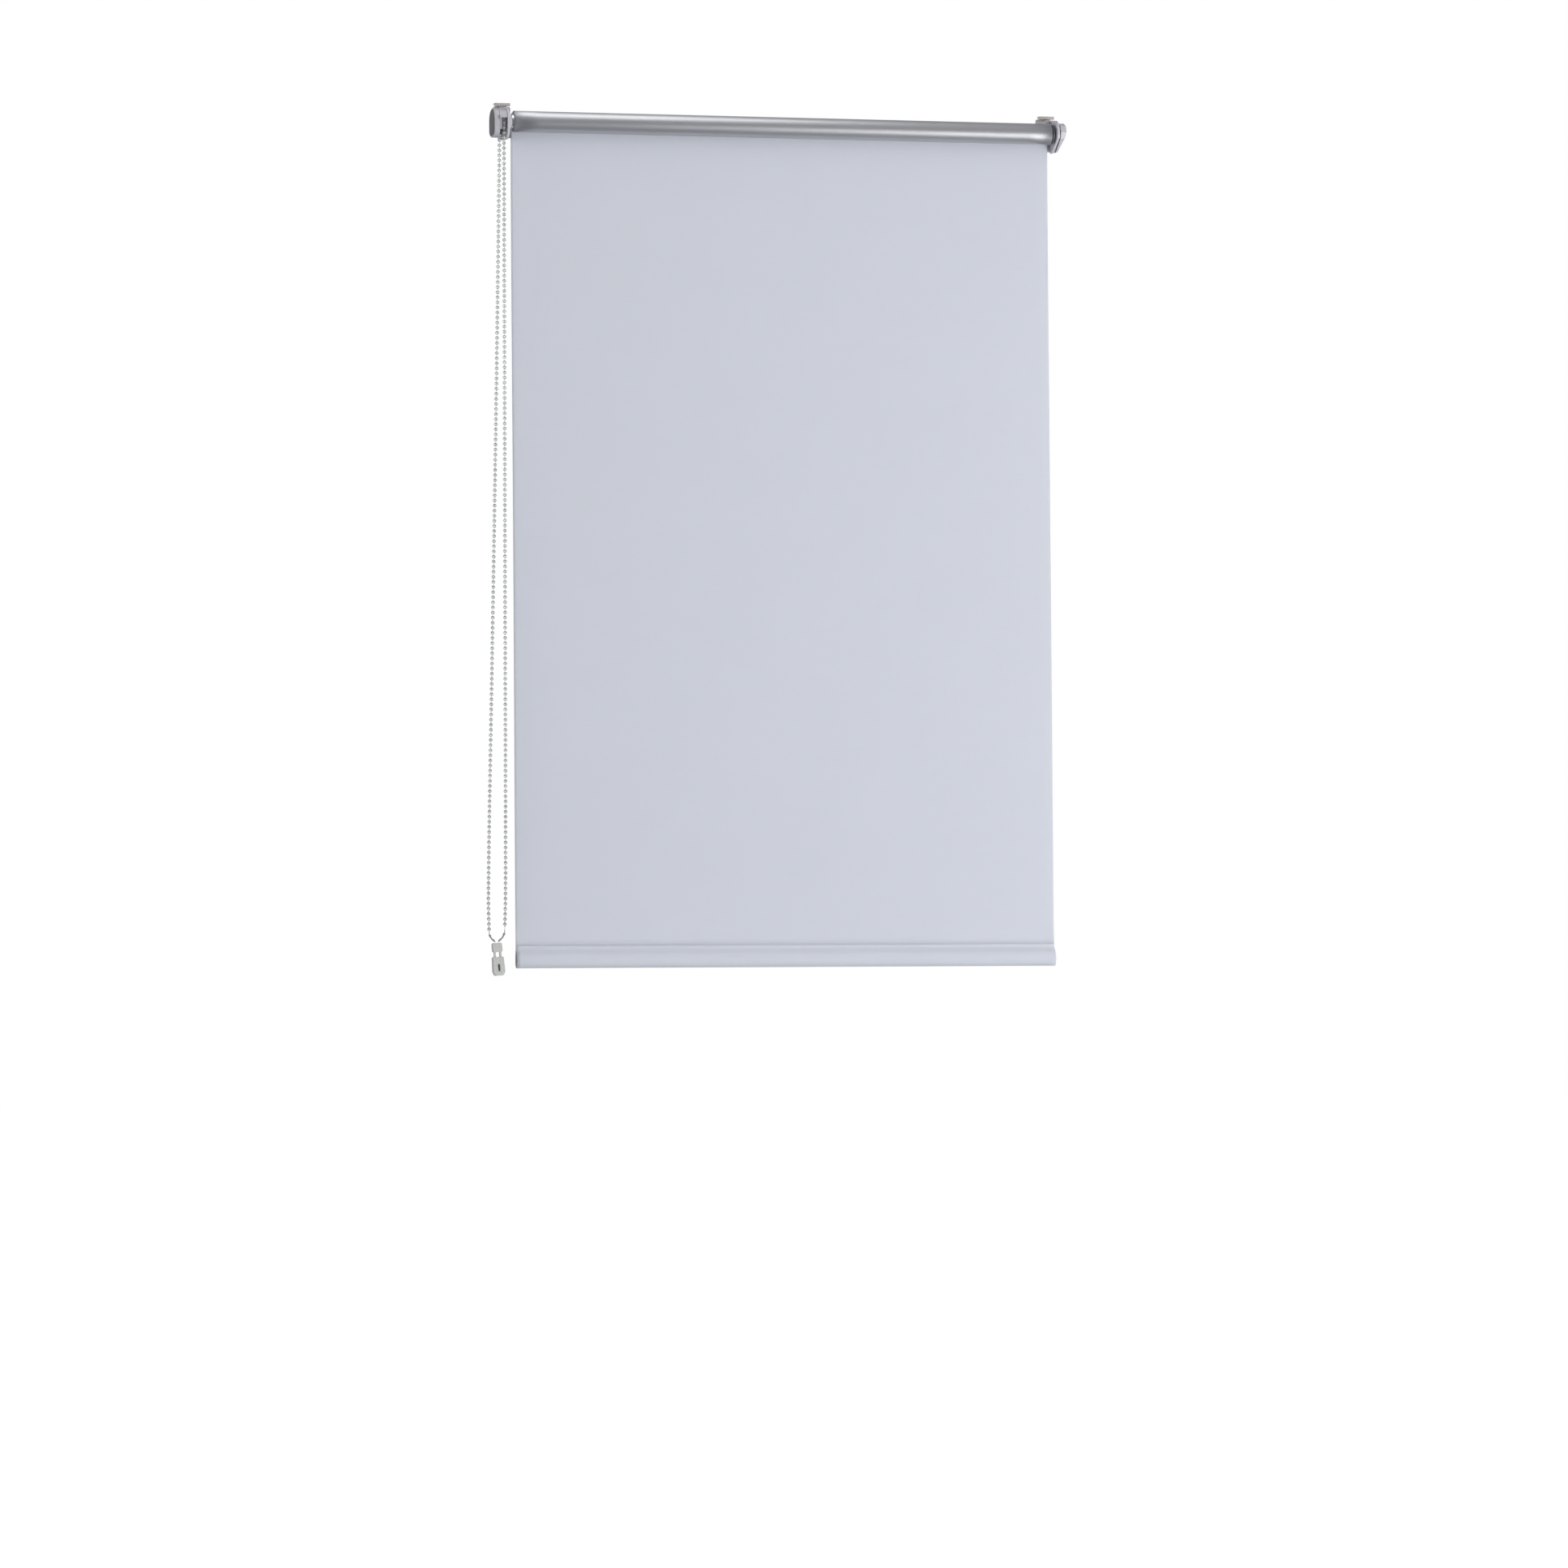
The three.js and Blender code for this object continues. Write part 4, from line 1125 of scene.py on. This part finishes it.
def hanging_points(columns=89, hug_rows=10, rows=110):
    """Rows follow the roll down to its rear, then run straight to the hem's seam.

    Three sine waves give the face its unevenness, and the edges curl by exp(-distance).
    """
    across = np.linspace(-1, 1, columns)
    across = np.sign(across) * (1 - (1 - np.abs(across)) ** 1.25)
    x = HALF_WIDTH * across
    lift = np.linspace(HUG, 0, hug_rows, endpoint=False)
    hug_y = AXIS.y + LEAVE_R * np.cos(lift)
    hug_z = AXIS.z + LEAVE_R * np.sin(lift)
    down = np.linspace(0, 1, rows)
    fall_y = (AXIS.y + LEAVE_R) * (1 - down) + PANEL_Y * down
    fall_z = AXIS.z + (HEM_TOP - AXIS.z) * down
    y = np.concatenate([hug_y, fall_y])[:, None]
    z = np.concatenate([hug_z, fall_z])[:, None]
    depth = np.clip((AXIS.z - z) / (AXIS.z - HEM_TOP), 0, 1)
    free = np.sin(math.pi * depth) ** 0.7
    wave = 0.42 * np.sin(x / 0.105 + 1.9 * depth) * np.sin(math.pi * depth)
    wave = wave + 0.30 * np.sin(x / 0.043 - 3 * depth + 1) * free
    wave = wave + 0.5 * np.sin(2.4 * math.pi * depth + 0.6) * np.sin(math.pi * depth)
    edge = np.exp(-(HALF_WIDTH - np.abs(x)) / (4.5 * MM))
    curl = 1.3 * edge * np.clip(depth * 14, 0, 1) * np.clip((1 - depth) * 26, 0, 1)
    points_y = y + (wave + curl) * MM
    shape = points_y.shape
    return np.stack([np.broadcast_to(x, shape), points_y, np.broadcast_to(z, shape)], -1)


def cloth_piece(name, points):
    """A grid with real thickness: cloth in front, silver behind, and a cut edge darkened as painted shade.
    """
    faces = grid_faces(*points.shape[:2])[:, ::-1]
    piece = new_piece(name, points, faces, [cloth_front, cloth_silver, cloth_edge_painted_shade])
    settings = {"offset": 0.0, "material_offset": 1, "material_offset_rim": 2}
    modifier(piece, "SOLIDIFY", thickness=CLOTH, **settings)
    return piece


sheet_points = hanging_points()
hanging = cloth_piece("hanging_cloth", sheet_points)
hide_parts("fabric_panel")
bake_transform(hanging, "root", "hem", (0, PANEL_Y, AXIS.z), (0, PANEL_Y, HEM_TOP))
heights = sheet_points[..., 2].ravel()
share = np.clip((AXIS.z - heights) / (AXIS.z - HEM_TOP), 0, 1).astype(np.float32)
hanging.data.attributes["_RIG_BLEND"].data.foreach_set("value", share)
print("hanging cloth: %.0f x %.0f mm" % (2 * HALF_WIDTH / MM, (AXIS.z - HEM_TOP) / MM))

# %% [markdown]
# ## The hem
# The cloth turns back on itself round the bar and is sewn to its own back. That makes a
# pocket with a teardrop section, fuller towards the room, open at both ends. The section is
# a closed smooth curve in two halves, front and back, and it is carried across the width
# with a slight ripple between stitches.

# %% Hem pocket
POCKET_SECTION = np.array([
    (-0.35, 25.9), (-0.5, 22.6), (-2.2, 20.3), (-6.0, 16.0), (-7.9, 9.8), (-6.7, 3.6), (-2.7, 0.25),
    (1.2, 3.4), (2.2, 9.6), (1.5, 16.0), (0.5, 21.2), (0.35, 25.9),
]) * MM


def pocket_points(columns=133):
    """The section swept along X. Near the seam it ripples once for each few stitches."""
    flat = np.column_stack([np.zeros(len(POCKET_SECTION)), POCKET_SECTION])
    section = smooth_route(flat, 72)[:, 1:]
    x = np.linspace(-HALF_WIDTH, HALF_WIDTH, columns)
    height = section[:, 1:2] / (HEM_TOP - HEM_BOTTOM)
    ripple = 0.16 * MM * np.sin(x / (5.5 * MM)) * np.exp(-((height - 0.8) / 0.12) ** 2)
    sag = 0.35 * MM * np.sin(x / 0.083 + 0.7) * (1 - height)
    y = PANEL_Y + section[:, :1] + ripple + sag * 0.6
    z = HEM_BOTTOM + section[:, 1:2] + 0 * x
    return np.stack([np.broadcast_to(x, y.shape), y, z], -1)


pocket_grid = pocket_points()
pocket = cloth_piece("hem_pocket_cloth", pocket_grid)
declare(pocket, "hem", "cloth_front", "hem_pocket")

# %% [markdown]
# The seam is a lockstitch: 2.5 mm of thread on top, then a hole where it dives through. A
# stitch is a small bent capsule, and all of them, front and back, are one mesh.


# %% Stitches
def stitch_points(centre_x, y, z, half=1.25 * MM, radius=0.2 * MM, rows=5, sides=6):
    """Capsules along X that arch towards the viewer: y changes with (x / half) squared."""
    t = np.linspace(-1, 1, rows)
    around = np.linspace(0, 2 * math.pi, sides, endpoint=False)
    size = radius * np.sqrt(1 - 0.9 * t**4)
    x = centre_x[:, None, None] + half * t[None, :, None] + 0 * around
    arch = 0.22 * MM * (t**2)[None, :, None]
    sign = np.sign(y - PANEL_Y)
    ring_y = y - sign * arch + size[None, :, None] * np.cos(around) + 0 * x
    ring_z = z + size[None, :, None] * np.sin(around) + 0 * x
    return np.stack([x, ring_y, ring_z], -1)


SEAM_Z = HEM_TOP - 2.2 * MM
SEAM_END = 3 * MM
STITCH = 3.2 * MM
STITCH_OUT = 0.62 * MM
centres = np.arange(-HALF_WIDTH + SEAM_END, HALF_WIDTH - SEAM_END, STITCH)
stitches = [stitch_points(centres, PANEL_Y + side * STITCH_OUT, SEAM_Z) for side in (-1, 1)]
stitches = np.concatenate(stitches)
rows, sides = stitches.shape[1:3]
stitch_faces = repeated(capped(rows, sides), rows * sides, len(stitches))
seam = face_outwards(new_piece("hem_stitches", stitches, stitch_faces, [thread_white.material]))
declare(seam, "hem", "cloth_front")
print("stitches:", len(stitches))

# %% [markdown]
# The weight in the hem is a flat oval aluminium tube. Its section is two half circles joined
# by straight sides, swept across the width, outside wall and inside wall together.


# %% Hem bar
OVAL_STEPS = 64


def oval(half_thickness, half_height):
    """Stadium outline: a circle whose top and bottom halves are moved apart."""
    angle = np.linspace(0, 2 * math.pi, OVAL_STEPS, endpoint=False)
    y = half_thickness * np.cos(angle)
    z = half_thickness * np.sin(angle) + np.sign(np.sin(angle)) * (half_height - half_thickness)
    return np.stack([y, z], -1)


bar_low, bar_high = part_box("hem_bar")
bar_middle = middle("hem_bar")
bar_thickness = (bar_high[1] - bar_low[1]) / 2
bar_height = (bar_high[2] - bar_low[2]) / 2
BAR_WALL = 0.9 * MM
outer_oval = oval(bar_thickness, bar_height)
inner_oval = oval(bar_thickness - BAR_WALL, bar_height - BAR_WALL)
loops = [
    (bar_low[0], inner_oval),
    (bar_high[0], inner_oval),
    (bar_high[0], outer_oval),
    (bar_low[0], outer_oval),
    (bar_low[0], inner_oval),
]
bar_rings = np.array([
    np.column_stack([np.full(len(loop), x), bar_middle.y + loop[:, 0], bar_middle.z + loop[:, 1]])
    for x, loop in loops
])
bar_faces = grid_faces(len(loops), OVAL_STEPS, around=True)
bar = face_outwards(new_piece("hem_bar_tube", bar_rings, bar_faces, [tube_metal]))
bar.data.set_sharp_from_angle(angle=SHARP)
declare(bar, "hem", "tube_metal", "hem_bar")
print("hem bar: %.0f mm" % ((bar_high[0] - bar_low[0]) / MM))

# %% [markdown]
# ## Floor, lights and backdrop
# A pale floor lies under the blind's lowest hem. The backdrop is white to the camera. For
# reflections it is dark grey, as the walls of a dim studio are, so that bare metal and
# silver cloth have something dark to mirror. Five broad lamps light the cloth and the
# plastics and show in no reflection. Two long lamps do the opposite: they only show as
# highlights along the roll, one overhead towards the left and one low in front towards the
# right.

# %% Floor and world
LOWEST_TRAVEL = 0.553
FLOOR_Z = HEM_BOTTOM - LOWEST_TRAVEL - 0.177
floor_finish = Finish("floor", Roughness=0.85, Emission_Color=(1, 1, 1, 1), Emission_Strength=0.82)
cloud = floor_finish.noise(floor_finish.place(), 0.6, detail=3)
floor_finish.drive(
    Base_Color=floor_finish.mix(cloud, (0.43, 0.43, 0.435, 1), (0.46, 0.46, 0.46, 1))
)
corners = [(-30, -30, FLOOR_Z), (30, -30, FLOOR_Z), (30, 60, FLOOR_Z), (-30, 60, FLOOR_Z)]
floor = new_piece("floor", corners, [(0, 1, 2, 3)], [floor_finish.material], smooth=False)
for ray in ("diffuse", "glossy", "transmission", "shadow"):
    setattr(floor, "visible_" + ray, False)

world = bpy.data.worlds.new("studio")
bpy.context.scene.world = world
world.use_nodes = True
tree = world.node_tree


def world_mix(factor, first, second):
    """A colour between two colours. Each input is a socket or a value."""
    mixed = tree.nodes.new("ShaderNodeMix")
    mixed.data_type = "RGBA"
    for index, value in ((0, factor), (6, first), (7, second)):
        if hasattr(value, "is_output"):
            tree.links.new(value, mixed.inputs[index])
        else:
            mixed.inputs[index].default_value = value
    return mixed.outputs[2]


rays = tree.nodes.new("ShaderNodeLightPath").outputs
heading = tree.nodes.new("ShaderNodeSeparateXYZ")
tree.links.new(tree.nodes.new("ShaderNodeTexCoord").outputs["Generated"], heading.inputs[0])


def height_ramp(start, end):
    """Goes smoothly from 0 to 1 as the direction's Z goes from start to end."""
    ramp = tree.nodes.new("ShaderNodeMapRange")
    ramp.interpolation_type = "SMOOTHSTEP"
    ramp.inputs["From Min"].default_value = start
    ramp.inputs["From Max"].default_value = end
    tree.links.new(heading.outputs[2], ramp.inputs[0])
    return ramp.outputs[0]


WALLS = (0.21, 0.21, 0.22, 1)
CEILING = (0.38, 0.38, 0.40, 1)
GROUND = (0.20, 0.20, 0.23, 1)
AMBIENT = (0.47, 0.475, 0.49, 1)
upper_room = world_mix(height_ramp(0.25, 0.6), WALLS, CEILING)
room = world_mix(height_ramp(-0.1, -0.7), upper_room, GROUND)
indirect = world_mix(rays["Is Glossy Ray"], AMBIENT, room)
backdrop = world_mix(rays["Is Camera Ray"], indirect, (1.0, 1.0, 1.0, 1))
tree.links.new(backdrop, tree.nodes["Background"].inputs["Color"])
bpy.context.scene.view_settings.view_transform = "Standard"
print("floor and world ready")


# %% Lamps
def soft_lamp(name, place, target, size, power, mirrored, scattered):
    """A rectangular lamp at place that faces target.

    mirrored says if glossy pieces show it, scattered if it lights matt ones.
    """
    lamp = bpy.data.objects.new(name, bpy.data.lights.new(name, "AREA"))
    lamp.data.shape = "RECTANGLE"
    lamp.data.size, lamp.data.size_y = size
    lamp.data.energy = power
    lamp.location = place
    lamp.rotation_euler = (Vector(target) - Vector(place)).to_track_quat("-Z", "Y").to_euler()
    lamp.visible_camera = False
    lamp.visible_glossy = mirrored
    lamp.visible_diffuse = scattered
    bpy.context.scene.collection.objects.link(lamp)


# Each row: name, place from the cloth's middle, target, side in metres, power in watts.
CLOTH_MIDDLE = Vector((0, PANEL_Y, -0.5))
BROAD_LAMPS = [
    ("key", (0.6, -2.3, 2.2), CLOTH_MIDDLE, 1.8, 7),
    ("front", (2.0, -3.4, -1.3), CLOTH_MIDDLE, 2.4, 50),
    ("right_side", (2.2, -1.7, -0.6), CLOTH_MIDDLE, 1.6, 24),
    ("left_side", (-3.2, -0.9, 0.5), AXIS, 1.6, 28),
    ("back", (0.4, 2.6, 0.8), CLOTH_MIDDLE, 2.4, 34),
]
for name, offset, target, side, power in BROAD_LAMPS:
    soft_lamp(name, CLOTH_MIDDLE + Vector(offset), target, (side, side), power, False, True)

# Each row: name, place from the roll's middle, target along X, size in metres, power.
HIGHLIGHT_LAMPS = [
    ("top_left", (-0.34, -0.10, 0.60), -0.3, (1.1, 0.48), 3.6),
    ("low_right", (0.82, -0.52, -0.36), 0.4, (1.3, 0.5), 5.4),
]
for name, offset, target_x, size, power in HIGHLIGHT_LAMPS:
    target = AXIS + Vector((target_x, 0, 0))
    soft_lamp(name, AXIS + Vector(offset), target, size, power, True, False)
print("lamps placed")
